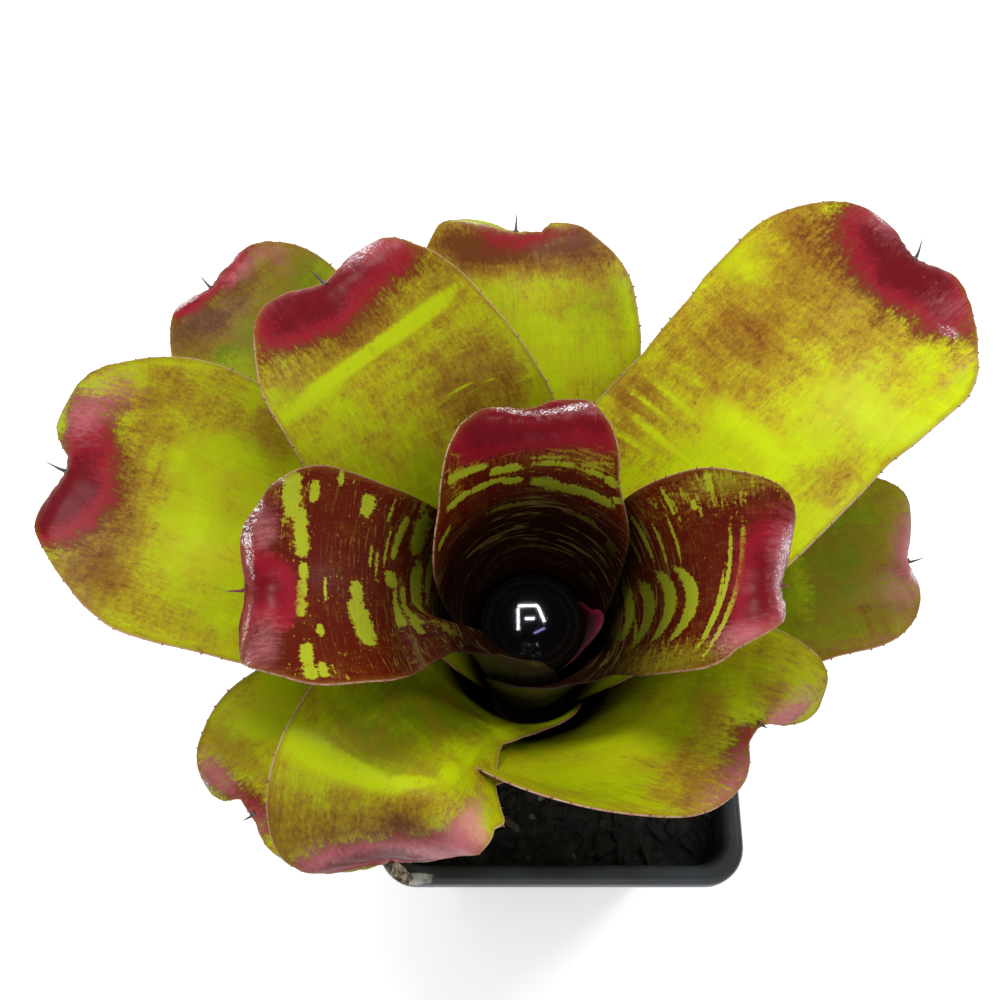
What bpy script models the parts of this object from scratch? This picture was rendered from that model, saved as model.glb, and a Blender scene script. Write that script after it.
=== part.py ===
"""A bromeliad rosette in a square nursery pot, in metres, +Z up.

The origin is the centre of the pot's underside, and -Y is the side that the open front of
the rosette faces. The plant stands a little off the pot's centre. Each leaf is a broad
sheath that wraps the plant's axis and opens into a channelled, strap-like blade with small
marginal teeth, a rounded end folded down around a notch, and one dark spine in the notch.
"""

import math

import bmesh
import bpy
import numpy as np
from mathutils import Matrix, Vector

MM = 0.001
GAP = 0.3  # left between pieces that touch, mm

# Pot, mm
RIM_WIDTH = 110.0
WALL_TOP_WIDTH = 101.0
WALL_FOOT_WIDTH = 82.0
POT_HEIGHT = 110.0
POT_WALL = 1.2
LIP_DROP = 7.0
CORNER_RADIUS = 12.0
FOOT_RADIUS = 3.0
DRAIN_RADIUS = 4.5
DRAIN_OFFSET = 24.0

# Soil, mm
SOIL_TOP = 98.0
STEM_HOLE_DEPTH = 18.0
CHIP_COUNT = 18

# Plant axis in plan, stem and water, mm
AXIS = (-9.0, 12.0)
STEM_RADIUS = 10.0
COLLAR_TOP = 102.7
NECK_TOP = 112.0
WATER_TOP = 152.0

# Leaves, mm and degrees
LEAF_THICKNESS = 1.0
LEAF_FOOT = 103.0
INNER_RADIUS = 8.5
SHEATH_PITCH = 1.6
SPINE_RADIUS = 0.9
SPINE_STEP = 2.6
TOOTH_HEIGHT = 0.9
TOOTH_HALF_WIDTH = 0.8
ROWS = 14
COLUMNS = 10

FIRST_TOOTHED_ROW = 4


def leaf(**sizes):
    """Sizes of one leaf.

    azimuth, sweep: where the leaf points in plan, and how far the blade swings round.
    rise, shoulder, tip: control points of the midline, as radius and height.
    widths, width_at: half widths at the foot, mouth, waist and blade, and where along it.
    channel: angle of the blade's trough, edge to middle.
    lean: share of the width moved from the counterclockwise side to the other.
    end, notch, dimple, skew: rounding of the end, its notch, its dent and its slant.
    curl, curl_length: how far the end folds down, over what length.
    opens, open: where along the leaf the sheath starts and stops becoming a blade.
    roll, yaw: twist of the blade about its midline and about the vertical.
    """
    row = dict(sweep=0, end=28, notch=2, dimple=2, skew=0, curl=40, curl_length=14)
    row.update(width_at=(0, 0.3, 0.5), channel=22, opens=0.22, open=0.55, roll=0, yaw=0)
    row.update(lean=0, wave=0.8, spine=1, teeth=1)
    row.update(sizes)
    return row


LEAVES = [
    leaf(
        azimuth=-15, rise=(11.2, 129), shoulder=(15, 151), tip=(19.5, 168),
        widths=(12, 15, 14, 9), width_at=(0, 0.4, 0.7), channel=40, end=9, notch=0,
        curl=0, dimple=0, opens=2, open=3, wave=0, spine=0, teeth=0,
    ),
    leaf(
        azimuth=92, rise=(15, 150), shoulder=(25, 184), tip=(41, 206),
        widths=(20, 33, 32, 25), width_at=(0, 0.35, 0.7), channel=48, end=13, notch=1,
        curl=75, curl_length=13, dimple=1, roll=7, opens=0.55, open=1,
    ),
    leaf(
        azimuth=184, rise=(16.6, 150), shoulder=(28, 194), tip=(75, 202),
        widths=(20, 27, 28, 33), width_at=(0, 0.35, 0.55), channel=40, end=22, notch=0,
        curl=75, curl_length=13, dimple=1.5, roll=-3, yaw=4, opens=0.35, open=0.8,
    ),
    leaf(
        azimuth=-5, rise=(18.8, 150), shoulder=(29, 196), tip=(64, 204),
        widths=(24, 31, 28, 29), width_at=(0, 0.35, 0.6), channel=40, end=22, notch=0,
        curl=75, curl_length=13, dimple=1.5, roll=4, yaw=4, opens=0.35, open=0.8,
    ),
    leaf(
        azimuth=121, sweep=4, rise=(19.5, 140), shoulder=(40, 190), tip=(105, 206),
        widths=(26, 36, 37, 36), width_at=(0, 0.3, 0.6), channel=28, curl=45,
        opens=0.25, open=0.6,
    ),
    leaf(
        azimuth=39, sweep=2, rise=(20.3, 140), shoulder=(50, 187), tip=(151, 199),
        widths=(28, 36, 39, 38), channel=20, end=37, notch=4, curl=35, roll=-3,
        opens=0.25,
    ),
    leaf(
        azimuth=226, sweep=14, rise=(24.3, 148), shoulder=(70, 222), tip=(76, 153),
        widths=(28, 40, 33, 32), width_at=(0, 0.3, 0.55), channel=30, end=32, notch=1,
        dimple=1, skew=-6, lean=-0.05, curl=0, yaw=32, opens=0.4, open=0.9,
    ),
    leaf(
        azimuth=165.5, sweep=-1, rise=(23, 136), shoulder=(52, 178), tip=(142, 180),
        widths=(26, 26, 37, 40.5), width_at=(0, 0.3, 0.58), end=42, notch=4, roll=-6,
    ),
    leaf(
        azimuth=91, sweep=1, rise=(27, 134), shoulder=(52, 174), tip=(125, 180),
        widths=(26, 25, 31, 33.5), width_at=(0, 0.3, 0.58), channel=25, end=30, notch=5, curl=45,
    ),
    leaf(
        azimuth=-38, sweep=12, rise=(27.5, 135), shoulder=(45, 166), tip=(77, 158),
        widths=(30, 44, 52, 37), width_at=(0, 0.28, 0.52), channel=45, end=42, notch=5,
        dimple=3, skew=6, lean=0.2, yaw=-9, opens=0.35, open=0.9,
    ),
    leaf(
        azimuth=213, sweep=1, rise=(28, 130), shoulder=(55, 160), tip=(102, 140),
        widths=(31, 35, 30, 29), channel=30, roll=-5, opens=0.2, open=0.5,
    ),
    leaf(
        azimuth=132, sweep=1, rise=(29.5, 130), shoulder=(60, 165), tip=(154, 166),
        widths=(31, 34, 30, 31), end=32, roll=-6, opens=0.2, open=0.5,
    ),
    leaf(
        azimuth=13, sweep=-1, rise=(31, 130), shoulder=(60, 155), tip=(125, 142),
        widths=(31, 34, 30, 29), end=30, curl=60, roll=10, opens=0.2, open=0.5,
    ),
]


def smooth(x):
    """Eases from 0 to 1 while x goes from 0 to 1."""
    x = np.clip(x, 0.0, 1.0)
    return x * x * (3.0 - 2.0 * x)


def midline(row, order):
    """Arc lengths, (radius, height) points and length of a leaf's midline."""
    foot = (INNER_RADIUS + SHEATH_PITCH * order, LEAF_FOOT)
    p0, p1, p2, p3 = (np.array(p, float) for p in (foot, row["rise"], row["shoulder"], row["tip"]))
    t = np.linspace(0, 1, 80)[:, None]
    points = (1 - t) ** 3 * p0 + 3 * (1 - t) ** 2 * t * p1 + 3 * (1 - t) * t * t * p2 + t**3 * p3
    step = np.diff(points, axis=0)
    size = np.linalg.norm(step, axis=1)
    angle = np.arctan2(step[:, 1], step[:, 0])
    total = size.sum()
    middle = np.cumsum(size) - size / 2
    angle = angle - math.radians(row["curl"]) * smooth((middle - total) / row["curl_length"] + 1)
    step = np.stack([np.cos(angle) * size, np.sin(angle) * size], 1)
    points = np.vstack([p0, p0 + np.cumsum(step, 0)])
    return np.concatenate([[0], np.cumsum(size)]), points, total


def half_width(row, f):
    """Half width of the leaf at the fraction f of its length."""
    foot, mouth, waist, blade = row["widths"]
    at_foot, at_mouth, at_waist = row["width_at"]
    lower = foot + (mouth - foot) * smooth((f - at_foot) / (at_mouth - at_foot))
    middle = mouth + (waist - mouth) * smooth((f - at_mouth) / (at_waist - at_mouth))
    upper = waist + (blade - waist) * smooth((f - at_waist) / (0.85 - at_waist))
    return np.where(f < at_mouth, lower, np.where(f < at_waist, middle, upper))


def leaf_surface(row, order, u, v):
    """Points of the leaf's middle surface, mm. u runs from foot to end, v from edge to edge."""
    table, points, total = midline(row, order)
    swing = row["sweep"] * smooth((table / total - 0.3) / 0.7)
    azimuth = np.radians(row["azimuth"] + swing)
    line = np.stack(
        [points[:, 0] * np.cos(azimuth), points[:, 0] * np.sin(azimuth), points[:, 1]], 1
    )
    edge = u * (total - 0.34 * row["end"])
    reach = np.clip((edge - total) / row["end"] + 1, 0, 1)
    v = v * np.sqrt(1 - reach**2)
    round_off = (1 - np.sqrt(1 - v * v)) / (1 - reach)
    slant = row["skew"] * v - row["notch"] * np.exp(-((v / 0.2) ** 2))
    s = u * total - round_off * (u * total - edge) + slant * smooth(2 * u - 1)
    f = s / total

    def at(place):
        return np.stack([np.interp(place, table, line[:, i]) for i in range(3)], -1)

    def unit(a):
        return a / np.linalg.norm(a, axis=-1)[..., None]

    centre = at(s)
    along = unit(at(s + 1.0) - at(s - 1.0))
    radius = np.hypot(centre[..., 0], centre[..., 1])
    outward = np.stack([centre[..., 0] / radius, centre[..., 1] / radius, 0 * radius], -1)
    round_it = np.stack([-outward[..., 1], outward[..., 0], 0 * radius], -1)
    open_ = smooth((f - row["opens"]) / (row["open"] - row["opens"]))
    turn = smooth((f - row["opens"]) / (1 - row["opens"]))
    blade = row["widths"][3]
    bend = (1 - open_) / radius + open_ * math.radians(row["channel"]) / blade
    angle = (v - row["lean"] * v * v) * half_width(row, f) * bend
    side = np.sin(angle) / bend
    lift = (1 - np.cos(angle)) / bend
    heading = np.interp(s, table, azimuth) + math.radians(row["yaw"]) * turn
    across = np.stack([-np.sin(heading), np.cos(heading), 0 * radius], -1)
    across = (1 - open_)[..., None] * round_it + open_[..., None] * across
    across = unit(across - (open_ * (across * along).sum(-1))[..., None] * along)
    up = (1 - open_)[..., None] * -outward + open_[..., None] * unit(np.cross(along, across))
    up = unit(up - (up * across).sum(-1)[..., None] * across)
    fold = smooth((s - total) / (1.6 * row["curl_length"]) + 1)
    lift = lift - row["dimple"] * np.exp(-((v / 0.22) ** 2)) * fold
    lift = lift + row["wave"] * open_ * np.abs(v) ** 3 * np.sin(s / 6.5 + 1.7 * order + 2 * v)
    roll = np.radians(row["roll"]) * turn
    side_axis = np.cos(roll)[..., None] * across + np.sin(roll)[..., None] * up
    up_axis = np.cos(roll)[..., None] * up - np.sin(roll)[..., None] * across
    place = centre + side[..., None] * side_axis + lift[..., None] * up_axis
    return place + np.array((AXIS[0], AXIS[1], 0.0))


def new_collection(name, parent):
    collection = bpy.data.collections.new(name)
    parent.children.link(collection)
    return collection


def principled(name, colour, roughness, coat=0.0):
    material = bpy.data.materials.new(name)
    material.use_nodes = True
    shader = material.node_tree.nodes["Principled BSDF"]
    shader.inputs["Base Color"].default_value = (*colour, 1.0)
    shader.inputs["Roughness"].default_value = roughness
    shader.inputs["Metallic"].default_value = 0.0
    shader.inputs["Coat Weight"].default_value = coat
    return material


def add_object(name, mesh, collection, material=None):
    thing = bpy.data.objects.new(name, mesh)
    collection.objects.link(thing)
    if material:
        mesh.materials.append(material)
    return thing


def from_bmesh(name, bm):
    mesh = bpy.data.meshes.new(name)
    bm.to_mesh(mesh)
    bm.free()
    return mesh


def hide(thing):
    thing.hide_render = True
    thing.display_type = "WIRE"


def boolean(thing, operand, operation):
    modifier = thing.modifiers.new(operation.title(), "BOOLEAN")
    modifier.operation = operation
    modifier.solver = "EXACT"
    modifier.object = operand


def tapered_box(foot, top, low, high, corner, foot_round):
    """A box with rounded upright edges and a rounded foot, narrower at the foot."""
    bm = bmesh.new()
    bmesh.ops.create_cube(bm, size=1.0)
    for vert in bm.verts:
        width = top if vert.co.z > 0 else foot
        height = high if vert.co.z > 0 else low
        vert.co = Vector((vert.co.x * width, vert.co.y * width, height))
    upright = [e for e in bm.edges if abs(e.verts[0].co.z - e.verts[1].co.z) > 1]
    bmesh.ops.bevel(bm, geom=upright, offset=corner, segments=4, profile=0.5, affect="EDGES")
    ring = [e for e in bm.edges if all(abs(v.co.z - low) < 0.01 for v in e.verts)]
    bmesh.ops.bevel(bm, geom=ring, offset=foot_round, segments=2, profile=0.5, affect="EDGES")
    return bm


def widen(verts, amount):
    """Moves a ring of points straight out by the same amount at its sides and corners."""
    for vert in verts:
        reach = WALL_TOP_WIDTH / 2 - CORNER_RADIUS
        core = Vector((max(-reach, min(reach, vert.co.x)), max(-reach, min(reach, vert.co.y)), 0))
        away = Vector((vert.co.x, vert.co.y, 0)) - core
        vert.co += away.normalized() * amount


def make_pot(collection, helpers, material):
    """An open tapered shell whose lip turns out and down, with drain holes in its floor."""
    top = POT_HEIGHT - POT_WALL
    bm = tapered_box(WALL_FOOT_WIDTH, WALL_TOP_WIDTH, 0, top, CORNER_RADIUS, FOOT_RADIUS)
    lid = [f for f in bm.faces if f.calc_center_median().z > top - 0.01]
    bmesh.ops.delete(bm, geom=lid, context="FACES_ONLY")
    overhang = (RIM_WIDTH - WALL_TOP_WIDTH) / 2 - POT_WALL
    for amount, drop in ((overhang - 1.4, 0), (0.9, 0.35), (0.3, 1.1), (0.2, LIP_DROP - 1.4)):
        edges = [e for e in bm.edges if e.is_boundary]
        made = bmesh.ops.extrude_edge_only(bm, edges=edges)["geom"]
        verts = [g for g in made if isinstance(g, bmesh.types.BMVert)]
        widen(verts, amount)
        for vert in verts:
            vert.co.z -= drop
    bmesh.ops.recalc_face_normals(bm, faces=bm.faces)
    base = min(bm.faces, key=lambda f: f.calc_center_median().z)
    if base.normal.z > 0:
        bmesh.ops.reverse_faces(bm, faces=bm.faces)
    bmesh.ops.scale(bm, vec=(MM, MM, MM), verts=bm.verts)
    pot = add_object("pot", from_bmesh("pot", bm), collection, material)
    shell = pot.modifiers.new("Wall", "SOLIDIFY")
    shell.thickness = POT_WALL * MM
    shell.offset = -1
    shell.use_even_offset = True
    bm = bmesh.new()
    for x in (-DRAIN_OFFSET, DRAIN_OFFSET):
        for y in (-DRAIN_OFFSET, DRAIN_OFFSET):
            place = Matrix.Translation((x * MM, y * MM, 0))
            radius = DRAIN_RADIUS * MM
            bmesh.ops.create_cone(
                bm, cap_ends=True, segments=14, radius1=radius, radius2=radius,
                depth=10 * MM, matrix=place,
            )
    drains = add_object("drain_cutter", from_bmesh("drain_cutter", bm), helpers)
    hide(drains)
    boolean(pot, drains, "DIFFERENCE")
    return pot


def make_soil(collection, helpers, material):
    """The filling of the pot, with bark chips on its top and a plain hole for the stem."""
    inset = 2 * (POT_WALL + GAP) + 0.1
    slope = (WALL_TOP_WIDTH - WALL_FOOT_WIDTH) / (POT_HEIGHT - POT_WALL)
    low = POT_WALL + GAP
    foot = WALL_FOOT_WIDTH + slope * low - inset
    top = WALL_FOOT_WIDTH + slope * SOIL_TOP - inset
    bm = tapered_box(foot, top, low, SOIL_TOP, CORNER_RADIUS - 1.3, FOOT_RADIUS - 1.2)
    bmesh.ops.scale(bm, vec=(MM, MM, MM), verts=bm.verts)
    soil = add_object("soil", from_bmesh("soil", bm), collection, material)
    rng = np.random.default_rng(7)
    bm = bmesh.new()
    placed = []
    while len(placed) < CHIP_COUNT:
        x, y = rng.uniform(-41, 41, 2)
        clear = all(math.hypot(x - a, y - b) > 9 for a, b in placed)
        if not clear or math.hypot(x - AXIS[0], y - AXIS[1]) < 37:
            continue
        placed.append((x, y))
        size = Vector((rng.uniform(5, 8), rng.uniform(3, 5), rng.uniform(2.5, 3.5))) * MM
        spin = Matrix.Rotation(rng.uniform(0, 3.1), 4, "Z")
        tilt = Matrix.Rotation(rng.uniform(-0.25, 0.25), 4, "X")
        place = Matrix.Translation((x * MM, y * MM, (SOIL_TOP + 0.2) * MM))
        bmesh.ops.create_cube(bm, size=1, matrix=place @ spin @ tilt @ Matrix.Diagonal((*size, 1)))
    chips = add_object("chip_helper", from_bmesh("chip_helper", bm), helpers)
    hide(chips)
    boolean(soil, chips, "UNION")
    bm = bmesh.new()
    radius = (STEM_RADIUS + GAP) * MM
    place = Matrix.Translation((AXIS[0] * MM, AXIS[1] * MM, SOIL_TOP * MM))
    bmesh.ops.create_cone(
        bm, cap_ends=True, segments=24, radius1=radius, radius2=radius,
        depth=2 * STEM_HOLE_DEPTH * MM, matrix=place,
    )
    hole = add_object("stem_hole_cutter", from_bmesh("stem_hole_cutter", bm), helpers)
    hide(hole)
    boolean(soil, hole, "DIFFERENCE")
    return soil


def make_turned(name, profile, collection, material):
    """A piece turned about the plant's axis. The profile runs down its outer side."""
    bm = bmesh.new()
    verts = [bm.verts.new((r * MM, 0, z * MM)) for r, z in profile]
    for a, b in zip(verts, verts[1:]):
        bm.edges.new((a, b))
    piece = add_object(name, from_bmesh(name, bm), collection, material)
    piece.location = (AXIS[0] * MM, AXIS[1] * MM, 0)
    screw = piece.modifiers.new("Turn", "SCREW")
    screw.steps = 24
    screw.render_steps = 24
    screw.use_merge_vertices = True
    screw.merge_threshold = 0.00001
    return piece


def make_stem(collection, material):
    """The short stem: its foot in the soil's hole, and a collar that carries the leaves."""
    neck = INNER_RADIUS - LEAF_THICKNESS / 2 - GAP - 0.05
    collar = INNER_RADIUS + SHEATH_PITCH * (len(LEAVES) - 1) + LEAF_THICKNESS
    low = SOIL_TOP - STEM_HOLE_DEPTH + GAP
    profile = [(0, NECK_TOP), (neck, NECK_TOP), (neck, COLLAR_TOP), (collar, COLLAR_TOP)]
    profile += [(collar, SOIL_TOP + 2), (STEM_RADIUS, SOIL_TOP + 0.4), (STEM_RADIUS, low), (0, low)]
    return make_turned("stem", profile, collection, material)


def make_water(collection, material):
    """The water in the rosette's cup, held inside the innermost sheath."""
    _, points, _ = midline(LEAVES[0], 0)
    low = NECK_TOP + GAP
    heights = np.linspace(WATER_TOP, low, 6)
    inset = LEAF_THICKNESS / 2 + GAP + 0.2
    radii = np.interp(heights, points[:, 1], points[:, 0]) - inset
    profile = [(0, WATER_TOP)] + list(zip(radii, heights)) + [(0, low)]
    return make_turned("tank_water", profile, collection, material)


def row_place(x):
    """Rows of points lie closer together toward the leaf's end."""
    return 1 - (1 - x) ** 1.25


def leaf_sheet(row, order):
    """The leaf as an open sheet of triangles, with its marginal teeth."""
    bm = bmesh.new()
    bmesh.ops.create_grid(bm, x_segments=ROWS, y_segments=COLUMNS, size=1.0)
    teeth = {}
    for edge in [e for e in bm.edges if e.is_boundary and row["teeth"]]:
        start, stop = sorted(edge.verts, key=lambda w: (w.co.x, w.co.y))
        side = abs(start.co.y) > 0.999 and abs(stop.co.y) > 0.999
        cells = ROWS if side else COLUMNS
        low = (start.co.x if side else start.co.y) + 1.0
        cell = round(low / 2 * cells)
        if side and not FIRST_TOOTHED_ROW <= cell < ROWS - 1:
            continue
        if not side and (start.co.x < 0.999 or cell in (0, COLUMNS - 1)):
            continue
        for role in (-1, 0, 1):
            _, vert = bmesh.utils.edge_split(edge, start, 1 / (3 - role))
            edge = next(e for e in vert.link_edges if e.other_vert(vert) == stop)
            start = vert
            teeth[vert] = (side, (cell + 0.5) / cells, role)
            bulge = 1.03 if role == 0 else 1.02
            if side:
                vert.co.y = math.copysign(bulge, vert.co.y)
            else:
                vert.co.x = bulge
    verts = list(bm.verts)
    u = row_place(np.array([min(v.co.x, 1.0) for v in verts]) / 2 + 0.5)
    v = np.clip(np.array([w.co.y for w in verts]), -1, 1)
    length = midline(row, order)[2]
    shift = TOOTH_HALF_WIDTH / length
    for i, vert in enumerate(verts):
        if vert not in teeth:
            continue
        side, middle, role = teeth[vert]
        if side:
            u[i] = row_place(middle) + role * shift
        else:
            v[i] = 2 * middle - 1 + role * TOOTH_HALF_WIDTH / row["widths"][3]
    v = 0.5 * np.sin(v * math.pi / 2) + 0.5 * v
    places = leaf_surface(row, order, u, v)
    inner = leaf_surface(row, order, np.maximum(u, 0.02) - 0.01, v)
    nearer = leaf_surface(row, order, u, v * 0.98)
    for i, vert in enumerate(verts):
        place = places[i]
        if vert in teeth and teeth[vert][2] == 0:
            away = place - (nearer[i] if teeth[vert][0] else inner[i])
            lean = place - inner[i]
            away = away / np.linalg.norm(away) + 0.3 * lean / np.linalg.norm(lean)
            place = place + away / np.linalg.norm(away) * TOOTH_HEIGHT
        vert.co = Vector(place * MM)
    bmesh.ops.triangulate(bm, faces=bm.faces, quad_method="BEAUTY", ngon_method="BEAUTY")
    return bm


def make_spine(name, row, order, helpers):
    """The dark spine in the leaf's notch: a tapering tube that bends up from the end."""
    places = leaf_surface(row, order, np.array((0.97, 1.0)), np.array((0.0, 0.0)))
    along = Vector(places[1] - places[0]).normalized()
    heading = math.radians(row["azimuth"] + row["sweep"] + row["yaw"])
    outward = Vector((math.cos(heading), math.sin(heading), 0.35)).normalized()
    point = Vector(places[1]) - 2.6 * along
    path = [point]
    for share in (0.0, 0.45, 0.8, 1.0):
        point = point + (along.lerp(outward, share)).normalized() * SPINE_STEP
        path.append(point)
    curve = bpy.data.curves.new(name, "CURVE")
    curve.dimensions = "3D"
    curve.bevel_depth = SPINE_RADIUS * MM
    curve.bevel_resolution = 1
    curve.use_fill_caps = True
    spline = curve.splines.new("POLY")
    spline.points.add(len(path) - 1)
    for place, point, scale in zip(path, spline.points, (1.0, 0.95, 0.7, 0.42, 0.15)):
        point.co = (*(place * MM), 1.0)
        point.radius = scale
    tube = add_object(name + "_curve", curve, helpers)
    bpy.context.view_layer.update()
    graph = bpy.context.evaluated_depsgraph_get()
    mesh = bpy.data.meshes.new_from_object(tube.evaluated_get(graph))
    bpy.data.objects.remove(tube)
    bm = bmesh.new()
    bm.from_mesh(mesh)
    bmesh.ops.remove_doubles(bm, verts=bm.verts, dist=0.000001)
    bm.to_mesh(mesh)
    bm.free()
    spine = add_object(name, mesh, helpers)
    hide(spine)
    return spine


def make_leaf(name, row, order, collection, helpers, material):
    piece = add_object(name, from_bmesh(name, leaf_sheet(row, order)), collection, material)
    piece.data.shade_smooth()
    sheet = piece.modifiers.new("Thickness", "SOLIDIFY")
    sheet.thickness = LEAF_THICKNESS * MM
    sheet.offset = 0
    if row["spine"]:
        boolean(piece, make_spine(name + "_spine", row, order, helpers), "UNION")
    return piece


def build():
    for thing in list(bpy.data.objects):
        bpy.data.objects.remove(thing)
    parts = new_collection("bromeliad", bpy.context.scene.collection)
    helpers = new_collection("cutters", bpy.context.scene.collection)
    make_pot(parts, helpers, principled("pot_plastic", (0.022, 0.024, 0.026), 0.45))
    make_soil(parts, helpers, principled("potting_mix", (0.02, 0.016, 0.012), 0.95))
    make_stem(parts, principled("stem_skin", (0.16, 0.1, 0.05), 0.8))
    make_water(parts, principled("water", (0.01, 0.012, 0.012), 0.03, coat=1.0))
    heart = principled("heart_leaf_skin", (0.35, 0.02, 0.08), 0.3, coat=0.3)
    inner = principled("inner_leaf_skin", (0.11, 0.018, 0.015), 0.32, coat=0.3)
    outer = principled("outer_leaf_skin", (0.3, 0.36, 0.03), 0.4, coat=0.2)
    for order, row in enumerate(LEAVES):
        material = heart if order == 0 else inner if order < 4 else outer
        make_leaf(f"leaf_{order + 1:02d}", row, order, parts, helpers, material.copy())


build()
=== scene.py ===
# %% [markdown]
# A bromeliad in its nursery pot.
# The plant is a rosette: thirteen broad leaves whose bases wrap one another and hold a little water, on a
# short stem in bark mix, in a square black pot. The exact solids are loaded first, as a fixed frame. Every
# leaf, and all that it stands in, is then modelled again with a fine surface in the same place, and given
# a finish made of nodes. Lengths in the tables are in millimetres, and the scene is in metres.

# %% Load the fixed frame
import math
from types import SimpleNamespace

import bpy
import numpy as np
from mathutils import Matrix, Vector, kdtree, noise


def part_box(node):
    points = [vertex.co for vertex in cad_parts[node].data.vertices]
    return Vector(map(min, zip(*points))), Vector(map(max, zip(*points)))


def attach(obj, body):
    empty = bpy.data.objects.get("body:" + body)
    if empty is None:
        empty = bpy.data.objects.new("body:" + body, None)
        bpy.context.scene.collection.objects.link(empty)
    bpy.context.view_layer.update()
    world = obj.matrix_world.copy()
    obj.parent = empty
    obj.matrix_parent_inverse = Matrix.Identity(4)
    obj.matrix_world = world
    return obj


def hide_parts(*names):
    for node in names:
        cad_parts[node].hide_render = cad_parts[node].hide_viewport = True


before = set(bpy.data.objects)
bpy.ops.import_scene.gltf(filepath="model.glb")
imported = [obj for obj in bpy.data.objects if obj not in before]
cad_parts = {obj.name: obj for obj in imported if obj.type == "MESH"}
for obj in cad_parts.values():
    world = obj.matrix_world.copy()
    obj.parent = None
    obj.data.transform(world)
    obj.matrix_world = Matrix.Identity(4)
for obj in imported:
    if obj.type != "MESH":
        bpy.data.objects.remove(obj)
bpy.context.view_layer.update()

MM = 0.001
BODY = "root"

# %% [markdown]
# The camera.
# The photograph looks down on the rosette from the pot's front, about 65 degrees above the table. The
# camera stands close, so the raised leaf ends look larger than the pot. Its place was worked out from the
# pot's rim and the ends of the leaves.

# %% Camera
CAMERA_PLACE = (-0.0183, -0.0960, 0.4672)
CAMERA_PITCH = 65.0
CAMERA_LENS = 41.5

bpy.ops.object.camera_add(location=CAMERA_PLACE, rotation=(math.radians(90 - CAMERA_PITCH), 0, 0))
camera = bpy.context.object
camera.name = "camera"
camera.data.lens = CAMERA_LENS
camera.data.clip_start = 0.01
bpy.context.scene.camera = camera

# %% [markdown]
# Editing by hand, in code.
# An operator acts on whatever is selected, so each step starts by selecting one thing and nothing else. Two
# helpers do that, and others thicken a sheet, cut a piece by another and grow an outline ring by ring. The
# one that ends a piece applies the modifiers and the object's place, so that the object sits at the origin
# with its place in its mesh, then lets it ride on the plant's one body.

# %% Editing helpers
def select_only(piece):
    if bpy.context.object and bpy.context.object.mode != "OBJECT":
        bpy.ops.object.mode_set(mode="OBJECT")
    bpy.ops.object.select_all(action="DESELECT")
    piece.select_set(True)
    bpy.context.view_layer.objects.active = piece


def start_editing(piece, kind="VERT"):
    select_only(piece)
    bpy.ops.object.mode_set(mode="EDIT")
    bpy.ops.mesh.select_mode(type=kind)
    bpy.ops.mesh.select_all(action="DESELECT")


def stop_editing(outward=False):
    """Leaves edit mode. A closed body first has all its faces turned to the outside."""
    if outward:
        bpy.ops.mesh.select_all(action="SELECT")
        bpy.ops.mesh.normals_make_consistent(inside=False)
    bpy.ops.object.mode_set(mode="OBJECT")


def apply_modifiers(piece):
    select_only(piece)
    for modifier in list(piece.modifiers):
        bpy.ops.object.modifier_apply(modifier=modifier.name)


def thicken(piece, thickness, offset=0):
    """Gives an open sheet a body of so many millimetres."""
    wall = piece.modifiers.new("Thickness", "SOLIDIFY")
    wall.thickness = thickness * MM
    wall.offset = offset
    return wall


def cut_by(piece, tool, operation):
    """Cuts a piece by another object, which is then removed."""
    cut = piece.modifiers.new("Cut", "BOOLEAN")
    cut.operation = operation
    cut.solver = "EXACT"
    cut.object = tool
    apply_modifiers(piece)
    bpy.data.objects.remove(tool)


def finish_piece(piece, name, replaced=(), smooth_below=40.0):
    """Applies modifiers and place, smooths the shading, names the piece and hides the parts that it
    replaces.
    """
    apply_modifiers(piece)
    bpy.ops.object.transform_apply(location=True, rotation=True, scale=True)
    if smooth_below:
        bpy.ops.object.shade_smooth_by_angle(angle=math.radians(smooth_below))
    piece.name = name
    piece.data.name = name
    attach(piece, BODY)
    if replaced:
        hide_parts(*replaced)
    print(name, len(piece.data.polygons), "faces", [round(x / MM) for x in piece.dimensions], "mm")


def coordinates(mesh):
    flat = np.empty(len(mesh.vertices) * 3)
    mesh.vertices.foreach_get("co", flat)
    return flat.reshape(-1, 3)


def grow_rings(sections, centre=(0, 0, 0)):
    """Extrudes the selected outline, which lies at the first (width, height) section, through the rest."""
    for before, (wide, high) in zip(sections, sections[1:]):
        ratio = wide / before[0]
        bpy.ops.mesh.extrude_edges_move()
        bpy.ops.transform.resize(value=(ratio, ratio, 1), center_override=centre)
        bpy.ops.transform.translate(value=(0, 0, (high - before[1]) * MM))


def round_corner(centre, radius, start, stop, steps):
    """Points of an arc in a (half width, height) profile, mm and degrees."""
    turns = np.radians(np.linspace(start, stop, steps))
    return [(centre[0] + radius * math.cos(t), centre[1] + radius * math.sin(t)) for t in turns]

# %% [markdown]
# Building a finish from nodes.
# A finish is a chain of small steps: read where the point lies on the piece, make noises stretched the way
# the real grain runs, turn each into a mask, and lay one colour over another by its mask. The class below
# keeps the colour so far and adds one node for each step, so that a finish reads like a recipe.

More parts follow.
